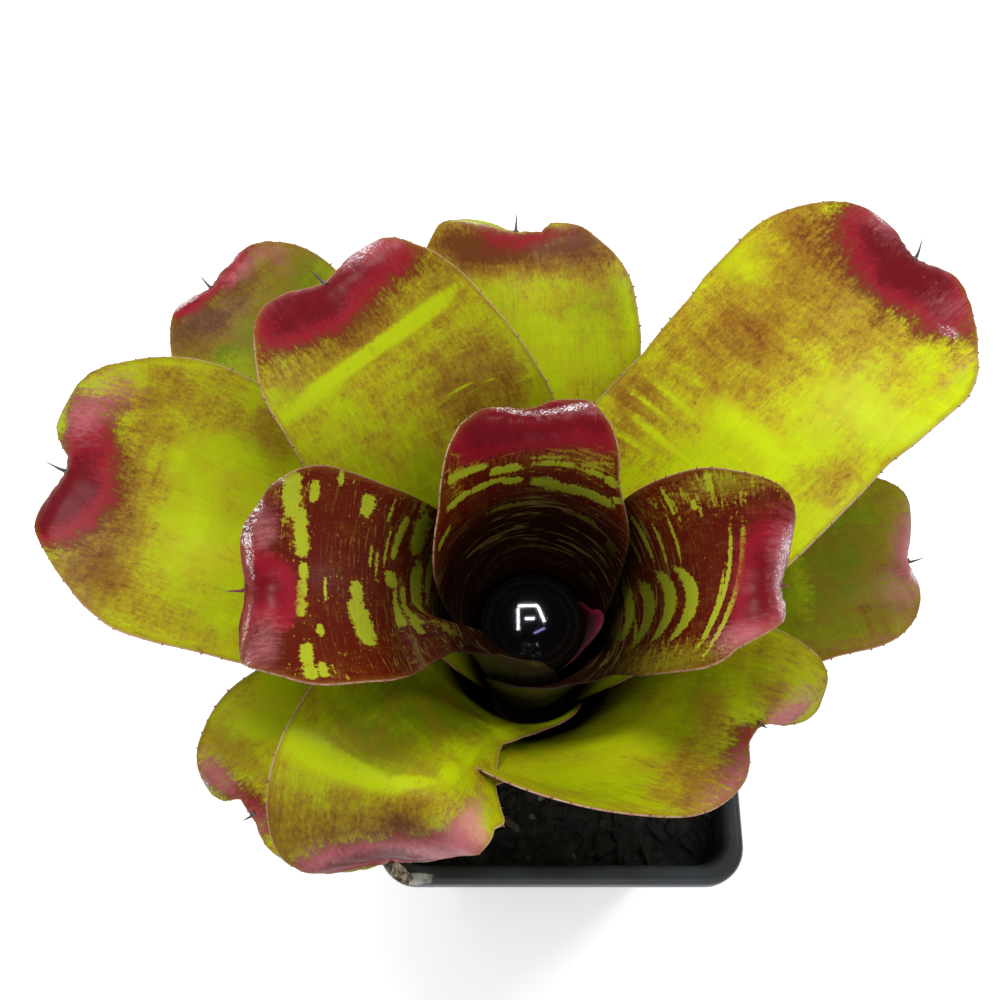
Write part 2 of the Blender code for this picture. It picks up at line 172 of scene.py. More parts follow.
# %% Node helpers
class Finish:
    """A material in the making. It starts with one colour, and cover and lay put more over it."""

    def __init__(self, name, colour, **sockets):
        self.colour = colour
        self.material = bpy.data.materials.new(name)
        self.material.use_nodes = True
        self.tree = self.material.node_tree
        self.shader = self.tree.nodes["Principled BSDF"]
        for socket, value in sockets.items():
            self.feed(self.shader, socket.replace("_", " ").title().replace("Ior", "IOR"), value)

    def add(self, kind, **settings):
        node = self.tree.nodes.new("ShaderNode" + kind)
        for key, value in settings.items():
            setattr(node, key, value)
        return node

    def feed(self, node, socket, value):
        if isinstance(value, bpy.types.NodeSocket):
            self.tree.links.new(value, node.inputs[socket])
        elif isinstance(value, tuple) and node.inputs[socket].type == "RGBA":
            node.inputs[socket].default_value = (*value, 1.0)
        else:
            node.inputs[socket].default_value = value

    def parts(self, vector):
        node = self.add("SeparateXYZ")
        self.feed(node, 0, vector)
        return node.outputs[0], node.outputs[1], node.outputs[2]

    def attribute(self, name):
        return self.add("Attribute", attribute_name=name).outputs["Vector"]

    def object_place(self):
        return self.add("TexCoord").outputs["Object"]

    def noise(self, vector, scale, detail=3.0, roughness=0.55, distortion=0.0):
        stretched = self.add("Mapping")
        self.feed(stretched, "Vector", vector)
        self.feed(stretched, "Scale", scale if isinstance(scale, tuple) else (scale,) * 3)
        node = self.add("TexNoise")
        self.feed(node, "Vector", stretched.outputs[0])
        self.feed(node, "Scale", 1.0)
        self.feed(node, "Detail", detail)
        self.feed(node, "Roughness", roughness)
        self.feed(node, "Distortion", distortion)
        return node.outputs[0]

    def math(self, operation, a, b=0.0):
        node = self.add("Math", operation=operation)
        self.feed(node, 0, a)
        self.feed(node, 1, b)
        return node.outputs[0]

    def times(self, a, b):
        return self.math("MULTIPLY", a, b)

    def total(self, first, *terms):
        """first + amount * (value - 0.5) for each (value, amount)."""
        result = first
        for value, amount in terms:
            node = self.add("Math", operation="MULTIPLY_ADD")
            self.feed(node, 0, self.math("SUBTRACT", value, 0.5))
            self.feed(node, 1, amount)
            self.feed(node, 2, result)
            result = node.outputs[0]
        return result

    def ease(self, value, low, high, to=(0.0, 1.0)):
        node = self.add("MapRange", interpolation_type="SMOOTHSTEP")
        for index, number in enumerate((value, low, high, *to)):
            self.feed(node, index, number)
        return node.outputs[0]

    def mix(self, share, below, above):
        node = self.add("Mix", data_type="RGBA")
        self.feed(node, 0, share)
        self.feed(node, 6, below)
        self.feed(node, 7, above)
        return node.outputs[2]

    def distance(self, vector, point):
        node = self.add("VectorMath", operation="DISTANCE")
        self.feed(node, 0, vector)
        self.feed(node, 1, point)
        return node.outputs["Value"]

    def cover(self, above, mask):
        self.colour = self.mix(mask, self.colour, above)

    def lay(self, above, value, low, high, most=1.0):
        """Covers the colour so far with another, as a value rises from low to high."""
        self.cover(above, self.ease(value, low, high, (0, most)))

    def dim(self, amount):
        node = self.add("VectorMath", operation="SCALE")
        self.feed(node, 0, self.colour)
        self.feed(node, "Scale", amount)
        self.colour = node.outputs[0]

    def bump(self, height, depth, strength=1.0, socket="Normal"):
        node = self.add("Bump")
        self.feed(node, "Height", height)
        self.feed(node, "Distance", depth)
        self.feed(node, "Strength", strength)
        self.feed(self.shader, socket, node.outputs[0])

    def finish(self, roughness=None):
        self.feed(self.shader, "Base Color", self.colour)
        if roughness is not None:
            self.feed(self.shader, "Roughness", roughness)
        return self.material

# %% [markdown]
# The studio.
# The photograph has a white table that fades into a white background, a soft shadow in front of the pot,
# and highlights only where a surface faces straight up. So a large soft light stands above and behind the
# plant, weaker ones fill the rear right and the front, and the world gives an even pale light. Five short
# bright bars hang high behind the plant, where the tank's water mirrors them.

# %% Floor and lights
FLOOR_COLOUR = (0.9, 0.9, 0.9)
FLOOR_GLOW = 0.3
WORLD_STRENGTH = 0.7

bpy.ops.mesh.primitive_plane_add(size=6, location=(0, 0, -0.0002))
floor = bpy.context.object
floor.name = "floor"
white = (1.0, 1.0, 1.0)
paper = Finish("white_table", FLOOR_COLOUR, specular_ior_level=0.1, emission_color=white)
paper.feed(paper.shader, "Emission Strength", FLOOR_GLOW)
floor.data.materials.append(paper.finish(0.9))

world = bpy.data.worlds.new("studio")
world.use_nodes = True
world.node_tree.nodes["Background"].inputs[0].default_value = (0.96, 0.98, 1.0, 1)
world.node_tree.nodes["Background"].inputs[1].default_value = WORLD_STRENGTH
bpy.context.scene.world = world
bpy.context.scene.view_settings.view_transform = "Standard"
bpy.context.scene.view_settings.look = "None"

PLANT_MIDDLE = Vector((-0.009, 0.012, 0.16))


def area_light(name, place, rotation, length, width, watts, colour=(1, 1, 1)):
    bpy.ops.object.light_add(type="AREA", location=place, rotation=rotation)
    light = bpy.context.object
    light.name = name
    light.data.shape = "RECTANGLE"
    light.data.size = length
    light.data.size_y = width
    light.data.energy = watts
    light.data.color = colour


def soft_light(name, direction, distance, size, watts):
    place = PLANT_MIDDLE + Vector(direction).normalized() * distance
    rotation = (PLANT_MIDDLE - place).to_track_quat("-Z", "Y").to_euler()
    area_light(name, place, rotation, size, size, watts)


soft_light("key", (-0.35, 0.5, 0.8), 1.1, 0.35, 9.0)
soft_light("rear_right", (0.6, 0.35, 0.7), 1.2, 0.25, 4.0)
soft_light("front_fill", (0.15, -0.8, 0.6), 1.4, 0.9, 5.0)

# The bars hang where a camera sees them mirrored in the water. Each is (across, back, length, width, turn,
# watts, red and green of its light).
BARS_MIDDLE = Vector((0.016, 0.304, 1.003))
BARS = [
    (-4.5, 19, 20, 1.5, 2, 0.19, 0.93), (-15, 4, 24, 1.5, 90, 0.21, 0.93),
    (9.5, 10, 19, 1.6, 112, 0.19, 0.93), (7.5, -9, 13, 0.9, 27, 0.02, 0.45),
    (-2.6, 4.5, 10, 2.6, 3, 0.08, 0.8),
]

for across, back, length, width, turn, watts, warm in BARS:
    place = BARS_MIDDLE + Vector((across, back, 0)) * MM
    rotation = (0, 0, math.radians(turn))
    area_light("bar_light", place, rotation, length * MM, width * MM, watts, (warm, warm, 1.0))

# %% [markdown]
# The pot.
# A nursery pot is a thin tapered shell with a rim that turns out and down, so that the wall is stiff and
# the pots stack. It could be a box with Solidify, but the rim needs its own curve. So a square is rounded
# at its corners, its edge is grown upward ring by ring along the wall and over the rim, and Solidify then
# gives the wall its thickness.

# %% Pot
POT_FOOT = 82.0
POT_MOUTH = 101.0
POT_RIM = 110.0
POT_HEIGHT = 110.0
POT_WALL = 1.2
POT_CORNER = 9.4
POT_SKIRT = 7.0
FOOT_ROUND = 3.0
DRAIN_RADIUS = 4.5
DRAIN_OFFSET = 24.0


def rounded_square(width, corner, height, segments=12):
    """A flat face with rounded corners, open in edit mode with its outline selected."""
    bpy.ops.mesh.primitive_plane_add(size=width * MM, location=(0, 0, 0))
    piece = bpy.context.object
    start_editing(piece)
    bpy.ops.mesh.select_all(action="SELECT")
    bpy.ops.transform.translate(value=(0, 0, height * MM))
    bpy.ops.mesh.bevel(offset=corner * MM, segments=segments, affect="VERTICES")
    bpy.ops.mesh.select_mode(type="EDGE")
    bpy.ops.mesh.select_all(action="SELECT")
    return piece


def make_pot():
    lip = POT_HEIGHT - POT_WALL
    outer = POT_RIM / 2 - POT_WALL
    profile = [(POT_FOOT / 2 - FOOT_ROUND, 0.0)]
    profile += round_corner((POT_FOOT / 2 - FOOT_ROUND, FOOT_ROUND), FOOT_ROUND, -72, 0, 5)
    profile += [(POT_MOUTH / 2 - 0.5, lip - 5.5), (POT_MOUTH / 2, lip - 0.4)]
    profile += round_corner((POT_MOUTH / 2 + 0.5, lip - 0.5), 0.5, 165, 90, 4)
    profile += round_corner((outer - 1.0, lip - 1.0), 1.0, 90, 0, 6)
    profile += [(outer, lip - 3.5), (outer, lip + POT_WALL - POT_SKIRT)]
    pot = rounded_square(profile[0][0] * 2, POT_CORNER - 2, 0.0)
    grow_rings(profile)
    stop_editing()
    thicken(pot, POT_WALL, offset=1).use_even_offset = True
    edge = pot.modifiers.new("Edges", "BEVEL")
    edge.width = 0.3 * MM
    edge.segments = 2
    edge.limit_method = "ANGLE"
    edge.angle_limit = math.radians(50)
    apply_modifiers(pot)
    start_editing(pot, "FACE")
    stop_editing(outward=True)
    for x in (-DRAIN_OFFSET, DRAIN_OFFSET):
        for y in (-DRAIN_OFFSET, DRAIN_OFFSET):
            bpy.ops.mesh.primitive_cylinder_add(
                vertices=32, radius=DRAIN_RADIUS * MM, depth=10 * MM, location=(x * MM, y * MM, 0)
            )
            cut_by(pot, bpy.context.object, "DIFFERENCE")
    return pot


pot = make_pot()

# %% [markdown]
# The pot's plastic.
# It is charcoal black and satin. Water that dries on the rim leaves a chalky bloom, strongest at the
# front left corner in the photograph, and handling leaves fine scuffs. Both are masks on Object
# coordinates, so they stay where they are whatever the view.

# %% Pot plastic
def pot_plastic():
    skin = Finish("charcoal_plastic", (0.012, 0.014, 0.016), specular_ior_level=0.35)
    place = skin.object_place()
    x, y, z = skin.parts(place)
    cloud = skin.noise(place, 60, detail=4)
    scuffs = skin.noise(place, (900, 90, 90), detail=3, roughness=0.7)
    dust = skin.noise(place, 700, detail=3, roughness=0.75)
    high = skin.ease(z, 0.1065, 0.1092)
    front = skin.ease(y, -0.0505, -0.0525)
    left = skin.ease(x, -0.026, -0.046)
    corner = skin.times(skin.times(left, front), high)
    bloom = skin.ease(skin.total(corner, (cloud, 1.3), (dust, 0.8)), 0.55, 0.95)
    chalk = skin.ease(skin.total(skin.times(high, 0.22), (cloud, 0.8), (dust, 0.9)), 0.45, 0.75)
    skin.lay((0.022, 0.026, 0.03), cloud, 0.35, 0.7)
    skin.lay((0.06, 0.066, 0.072), scuffs, 0.62, 0.72, 0.35)
    skin.cover((0.16, 0.17, 0.17), skin.times(chalk, 0.3))
    skin.cover((0.42, 0.41, 0.37), skin.times(bloom, 0.8))
    skin.bump(skin.total(0.5, (scuffs, 0.4), (dust, 0.6)), 0.00008, 0.5)
    rough = skin.ease(skin.total(0.5, (cloud, 0.6), (dust, 0.4)), 0.2, 0.8, (0.34, 0.5))
    return skin.finish(skin.mix(bloom, rough, (0.8, 0.8, 0.8)))


pot.data.materials.append(pot_plastic())
finish_piece(pot, "pot_shell", ["pot"])

# %% [markdown]
# The potting mix.
# It is a damp bed of peat and composted bark, nearly black, with a few paler chips. A grid is roughened in
# its points' heights, extruded down into a block, and cut to the inside of the pot with a Boolean.

# %% Bed of mix
SOIL_TOP = 98.0
SOIL_INSET = 1.6
BED_CELLS = 110
BED_REACH = 46.0


def bed_height(x, y):
    """Height of the mix at a place in plan, mm: lumpy, and a little higher around the stem."""
    lumps = noise.noise(Vector((x / 7, y / 7, 1.3))) * 1.2
    lumps += noise.noise(Vector((x / 2.6, y / 2.6, 4))) * 0.7
    grit = noise.noise(Vector((x / 1.1, y / 1.1, 9))) * 0.3
    heap = 1.5 * math.exp(-((x + 9) ** 2 + (y - 12) ** 2) / 32**2)
    return SOIL_TOP - 0.8 + lumps + grit + heap


def make_bed():
    width = (POT_MOUTH + 4) * MM
    bpy.ops.mesh.primitive_grid_add(x_subdivisions=BED_CELLS, y_subdivisions=BED_CELLS, size=width)
    bed = bpy.context.object
    for vert in bed.data.vertices:
        vert.co.z = bed_height(vert.co.x / MM, vert.co.y / MM) * MM
    low = POT_WALL + 0.3
    start_editing(bed, "FACE")
    bpy.ops.mesh.select_all(action="SELECT")
    bpy.ops.mesh.extrude_region_move()
    bpy.ops.transform.resize(value=(1, 1, 0), center_override=(0, 0, 0))
    stop_editing(outward=True)
    taper = (POT_MOUTH - POT_FOOT) / (POT_HEIGHT - POT_WALL)
    foot = POT_FOOT - 2 * SOIL_INSET + taper * low
    brim = POT_MOUTH - 2 * SOIL_INSET
    mould = rounded_square(foot - 3.5, POT_CORNER - 3.5, low)
    sections = [(foot - 3.5, low), (foot - 1, low + 0.7), (foot, low + 2), (brim, POT_HEIGHT - 1)]
    grow_rings(sections)
    bpy.ops.mesh.edge_face_add()
    stop_editing(outward=True)
    cut_by(bed, mould, "INTERSECT")
    return bed


bed = make_bed()


def damp_peat():
    skin = Finish("damp_peat", (0.0012, 0.001, 0.0008), specular_ior_level=0.3)
    place = skin.object_place()
    crumbs = skin.noise(place, 420, detail=5, roughness=0.7)
    lumps = skin.noise(place, 110, detail=3)
    skin.lay((0.007, 0.005, 0.0035), crumbs, 0.3, 0.75)
    skin.lay((0.009, 0.0065, 0.0045), lumps, 0.5, 0.75, 0.6)
    skin.bump(skin.total(0.5, (crumbs, 0.9), (lumps, 0.5)), 0.0006, 0.9)
    return skin.finish(skin.ease(lumps, 0.3, 0.7, (0.95, 0.6)))


bed.data.materials.append(damp_peat())
finish_piece(bed, "potting_mix", ["soil"])

# %% [markdown]
# What lies on the mix.
# The bed shows chips of bark, a few of them pale, and thin fibres. Hundreds of modelled chips would be slow
# to make by hand, so a bevelled cube and a round pebble are modelled once, and copied with a seeded random
# draw that turns, sizes and dents each copy. The fibres are bent curves made a mesh.

# %% Chips and fibres
STEM_AXIS = (-9.0, 12.0)
STEM_CLEARANCE = 30.0
CHIP_COUNT = 300
CHIP_SIZES = [(2.5, 7.5), (1.8, 4.2), (0.8, 2.2)]
PALE_COUNT = 14
PALE_SIZES = [(2.0, 5.5), (1.2, 2.6), (0.5, 1.3)]
PALE_BIT = (-14.6, -35.9)
FIBRE_COUNT = 22
FIBRE_STEP = 1.5


def open_places(count, reach, rng):
    """Random places on the bed, inside the pot and outside the stem's collar, mm."""
    found = []
    while len(found) < count:
        x, y = rng.uniform(-reach, reach, 2)
        from_stem = math.hypot(x - STEM_AXIS[0], y - STEM_AXIS[1])
        if from_stem > STEM_CLEARANCE and abs(x) + abs(y) < 1.85 * reach:
            found.append((x, y))
    return found


def copies_of(template, matrices, jitter, rng):
    """One object holding a copy of the template for each matrix, each a little different."""
    points = coordinates(template.data)
    faces = [list(p.vertices) for p in template.data.polygons]
    all_points, all_faces = [], []
    for matrix in matrices:
        start = len(all_points)
        rough = points * (1 + rng.uniform(-jitter, jitter, points.shape))
        all_points += [matrix @ Vector(p) for p in rough]
        all_faces += [[start + i for i in face] for face in faces]
    mesh = bpy.data.meshes.new(template.name)
    mesh.from_pydata(all_points, [], all_faces)
    template.data = mesh
    template.matrix_world = Matrix.Identity(4)
    return template


def scatter(sizes, count, lift, tilt, rng):
    """Matrices that lay a unit template on the bed at random turns and sizes."""
    matrices = []
    for x, y in open_places(count, BED_REACH + 0.5, rng):
        size = Vector([rng.uniform(low, high) for low, high in sizes]) * MM
        place = Matrix.Translation((x * MM, y * MM, (bed_height(x, y) + lift) * MM))
        turn = Matrix.Rotation(rng.uniform(0, 6.3), 4, "Z")
        turn = turn @ Matrix.Rotation(rng.uniform(-tilt, tilt), 4, "X")
        matrices.append(place @ turn @ Matrix.Diagonal((*size, 1)))
    return matrices


def bark_skin(name, dark, pale):
    skin = Finish(name, dark, specular_ior_level=0.3)
    place = skin.object_place()
    strands = skin.noise(place, (900, 160, 300), detail=4, roughness=0.7)
    pieces = skin.noise(place, 60, detail=1)
    skin.lay(pale, strands, 0.3, 0.7)
    skin.dim(skin.ease(pieces, 0.3, 0.7, (0.35, 1.2)))
    skin.bump(strands, 0.0004, 0.8)
    return skin.finish(0.8)


def make_chips():
    bpy.ops.mesh.primitive_cube_add(size=1)
    chip = bpy.context.object
    start_editing(chip)
    bpy.ops.mesh.select_all(action="SELECT")
    bpy.ops.mesh.bevel(offset=0.16, segments=1, affect="EDGES")
    stop_editing()
    rng = np.random.default_rng(3)
    chips = copies_of(chip, scatter(CHIP_SIZES, CHIP_COUNT, 0.2, 0.6, rng), 0.22, rng)
    chips.data.materials.append(bark_skin("dark_bark", (0.0015, 0.0012, 0.001), (0.012, 0.009, 0.006)))
    finish_piece(chips, "bark_chips", smooth_below=0)
    bpy.ops.mesh.primitive_ico_sphere_add(subdivisions=2, radius=0.5)
    flake = bpy.context.object
    matrices = scatter(PALE_SIZES, PALE_COUNT, 0.7, 0.7, rng)
    pale_bit = Matrix.Translation(Vector((*PALE_BIT, bed_height(*PALE_BIT) + 0.9)) * MM)
    pale_bit = pale_bit @ Matrix.Rotation(-0.6, 4, "Z")
    matrices.append(pale_bit @ Matrix.Diagonal((6.2 * MM, 2.6 * MM, 1.4 * MM, 1)))
    flakes = copies_of(flake, matrices, 0.38, rng)
    flakes.data.materials.append(bark_skin("pale_bark", (0.012, 0.01, 0.006), (0.09, 0.08, 0.045)))
    finish_piece(flakes, "pale_bark_bits", smooth_below=50)


def make_fibres():
    """Thin roots and bark fibres that lie bent on the mix."""
    rng = np.random.default_rng(21)
    curve = bpy.data.curves.new("fibres", "CURVE")
    curve.dimensions = "3D"
    curve.bevel_depth = 0.16 * MM
    curve.bevel_resolution = 1
    curve.use_fill_caps = True
    for x, y in open_places(FIBRE_COUNT, BED_REACH - 2, rng):
        heading = rng.uniform(0, 6.3)
        spline = curve.splines.new("POLY")
        spline.points.add(7)
        for point in spline.points:
            x = float(np.clip(x, -BED_REACH, BED_REACH))
            y = float(np.clip(y, -BED_REACH, BED_REACH))
            point.co = (x * MM, y * MM, (bed_height(x, y) + 0.5) * MM, 1)
            heading += rng.uniform(-0.5, 0.5)
            x += FIBRE_STEP * math.cos(heading)
            y += FIBRE_STEP * math.sin(heading)
    fibres = bpy.data.objects.new("fibres", curve)
    bpy.context.scene.collection.objects.link(fibres)
    select_only(fibres)
    bpy.ops.object.convert(target="MESH")
    fibres = bpy.context.object
    fibres.data.materials.append(bark_skin("dry_fibre", (0.01, 0.007, 0.004), (0.05, 0.038, 0.022)))
    finish_piece(fibres, "bark_fibres")


make_chips()
make_fibres()

# %% [markdown]
# The dry scrap.
# A bit of an old leaf sheath has dried onto the front left corner of the rim, partly bleached. It is a
# small grid, pushed out of flat by noise and curled at one end, then given a thin body by Solidify.

# %% Dry scrap on the rim
SCRAP_PLACE = (-48.0, -51.8, 110.5)
SCRAP_SIZE = (8.5, 4.2)


def make_scrap():
    bpy.ops.mesh.primitive_grid_add(x_subdivisions=26, y_subdivisions=14, size=1)
    scrap = bpy.context.object
    for vert in scrap.data.vertices:
        x, y = vert.co.x * SCRAP_SIZE[0], vert.co.y * SCRAP_SIZE[1] * (1 - 0.9 * abs(vert.co.x) ** 1.6)
        crumple = noise.noise(Vector((x / 1.6, y / 1.2, 2.0)))
        curl = 0.05 * y * y + 0.02 * max(x - 1, 0) ** 2
        vert.co = Vector((x + 0.5 * crumple, y + 0.4 * crumple, 0.6 * crumple + curl)) * MM
    thicken(scrap, 0.18)
    scrap.location = Vector(SCRAP_PLACE) * MM
    scrap.rotation_euler = (math.radians(8), math.radians(-6), math.radians(-38))
    skin = Finish("dry_sheath", (0.20, 0.15, 0.09), roughness=0.75, specular_ior_level=0.3)
    place = skin.object_place()
    fibres = skin.noise(place, (1500, 500, 500), detail=3, roughness=0.7)
    stains = skin.noise(place, 380, detail=3)
    skin.lay((0.46, 0.42, 0.33), fibres, 0.35, 0.7)
    skin.lay((0.035, 0.018, 0.01), stains, 0.48, 0.62, 0.85)
    skin.bump(fibres, 0.0002, 0.7)
    scrap.data.materials.append(skin.finish())
    finish_piece(scrap, "dry_scrap")


make_scrap()

# %% [markdown]
# The stem.
# The leaves grow from a short stem that widens into a collar of old leaf bases. It is nearly hidden, and
# shows only as a dark brown floor between the open leaf bases. A circle is grown into rings with a ridge
# for each old base, and the fibrous skin comes from its finish.

# %% Stem
STEM_RADIUS = 10.0
COLLAR_RADIUS = 28.5
COLLAR_TOP = 102.7
NECK_RADIUS = 7.6
NECK_TOP = 112.0
INNER_RADIUS = 8.5
SHEATH_PITCH = 1.6
LEAF_COUNT = 13


def turned(sections):
    """A closed body turned about the plant's axis, from (radius, height) sections, foot first."""
    centre = (STEM_AXIS[0] * MM, STEM_AXIS[1] * MM, 0)
    first = sections[0]
    bpy.ops.mesh.primitive_circle_add(
        vertices=96, radius=first[0] * MM, fill_type="NGON", location=(centre[0], centre[1], first[1] * MM)
    )
    body = bpy.context.object
    start_editing(body, "EDGE")
    bpy.ops.mesh.select_all(action="SELECT")
    grow_rings(sections, centre)
    bpy.ops.mesh.edge_face_add()
    stop_editing(outward=True)
    return body


def make_stem():
    sections = [(STEM_RADIUS - 1, 80.5), (STEM_RADIUS, 81.5), (STEM_RADIUS, 98.6)]
    sections += [(COLLAR_RADIUS - 2, 99.8), (COLLAR_RADIUS, 100.6), (COLLAR_RADIUS, 102.2)]
    for order in range(LEAF_COUNT - 1, -1, -1):
        seat = INNER_RADIUS + SHEATH_PITCH * order
        sections += [(seat + 0.6, COLLAR_TOP - 0.5), (seat + 0.1, COLLAR_TOP)]
        sections.append((seat - 0.4, COLLAR_TOP - 0.1))
    sections += [(NECK_RADIUS, COLLAR_TOP + 0.2), (NECK_RADIUS, NECK_TOP - 1), (NECK_RADIUS - 1, NECK_TOP)]
    stem = turned(sections)
    skin = Finish("old_leaf_bases", (0.004, 0.002, 0.0015), specular_ior_level=0.3)
    place = skin.object_place()
    strands = skin.noise(place, (500, 500, 60), detail=4, roughness=0.65)
    patches = skin.noise(place, 90, detail=2)
    skin.lay((0.022, 0.01, 0.006), strands, 0.3, 0.7)
    skin.lay((0.003, 0.0015, 0.001), patches, 0.5, 0.7, 0.7)
    skin.bump(strands, 0.0004, 0.7)
    stem.data.materials.append(skin.finish(0.75))
    finish_piece(stem, "stem_and_collar", ["stem"])


make_stem()

# %% [markdown]
# The water in the tank.
# The inner sheaths hold a small pool. It is clear, so its near-black colour is painted: partly the dark
# leaf bases under it, and partly painted shade of the deep tank, so it reads as a black mirror. It is
# turned like the stem, and its finish is dark and smooth. Faint brown rings towards its edge are a painted
# reflection of the sheaths around it. One patch near the front is stirred a little by a bump, so that it
# breaks the mirrored lights into glints.

# %% Water
WATER_TOP = 152.0
STIRRED_PLACE = (-9.5, 3.5)
STIRRED_REACH = 3.4


def make_water():
    node_low, node_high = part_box("tank_water")
    rim = (node_high.x - node_low.x) / 2 / MM
    low = node_low.z / MM
    neck = NECK_RADIUS - 0.4
    sections = [(neck - 0.6, low), (neck, low + 0.5)]
    for s in (0.25, 0.5, 0.75, 1.0):
        sections.append((neck + (rim - neck) * s**0.8, low + (WATER_TOP - low) * s))
    sections += [(rim * 0.5, WATER_TOP), (rim * 0.1, WATER_TOP)]
    water = turned(sections)
    # Near-black base colour: painted shade of the deep tank under clear water, over the dark leaf bases.
    skin = Finish("tank_water", (0.0007, 0.0002, 0.0001), ior=1.333, specular_ior_level=0.06)
    place = skin.object_place()
    motes = skin.noise(place, 1500, detail=2)
    skin.lay((0.02, 0.012, 0.008), motes, 0.72, 0.78, 0.5)
    ripples = skin.noise(place, 300, detail=3, roughness=0.6)
    # Faint brown rings towards the edge: a painted reflection of the sheaths around the pool.
    from_middle = skin.distance(place, tuple(x * MM for x in (*STEM_AXIS, WATER_TOP)))
    arcs = skin.total(skin.times(from_middle, 2600), (ripples, 5))
    arcs = skin.ease(skin.math("SINE", arcs), 0.0, 1.0, (0, 0.8))
    arcs = skin.times(arcs, skin.ease(from_middle, 7.5 * MM, 12 * MM))
    skin.cover((0.006, 0.003, 0.0012), arcs)
    from_patch = skin.distance(place, tuple(x * MM for x in (*STIRRED_PLACE, WATER_TOP)))
    stirred = skin.ease(from_patch, STIRRED_REACH * MM, 0.8 * MM)
    skin.bump(skin.times(skin.math("SUBTRACT", ripples, 0.5), stirred), 0.0009, 0.8)
    water.data.materials.append(skin.finish(0.02))
    finish_piece(water, "water_in_tank", ["tank_water"])


make_water()

# %% [markdown]
# The form of a leaf.
# A leaf of this plant starts as a sheath, part of a cone that wraps the stem, and opens into a channelled
# blade. So one formula serves all thirteen, and a table gives each leaf its numbers. They start from those
# that the solids were built from, so that each fine leaf lies where its solid does. The fields cut, sides,
# puffs, crest, flap and hug then give a leaf the small turns of its own outline.

# %% Leaf table
def leaf(**sizes):
    """One leaf's row. Angles are in degrees, and places along a margin are (v or from the end, amount).

    azimuth, sweep, roll, yaw: where the leaf points in plan, how far it swings round, and its twist.
    rise, shoulder, tip: control points of the middle line, as radius and height.
    widths, width_at: half widths at the foot, mouth, waist and blade, and where along it.
    channel, opens, open: angle of the blade's trough, and where the sheath becomes a blade.
    end, notch, dimple, skew, cut: rounding of the end, its notch, dent and slant, and its trim by v.
    lean, sides: width moved to one side, and the share of it kept as (from the end, minus, plus).
    curl, curl_length: how far the end folds down, over what length.
    wave, puffs, crest, flap: waves of the margin, swellings, a ridge, and a side folded over.
    hug: which side is held close to the plant's axis, with its greatest radius by from the end.
    """
    row = dict(sweep=0, end=28, notch=2, dimple=2, skew=0, curl=40, curl_length=14)
    row.update(width_at=(0, 0.3, 0.5), channel=22, opens=0.22, open=0.55, roll=0, yaw=0)
    row.update(lean=0, wave=0.8, spine=(1, 0), teeth=1)
    row.update(cut=((-1, 0), (1, 0)), sides=((0, 1, 1), (200, 1, 1)), puffs=(), crest=(0, 30, 5))
    row.update(flap=(0, 0), hug=(0, ()))
    row.update(sizes)
    return row


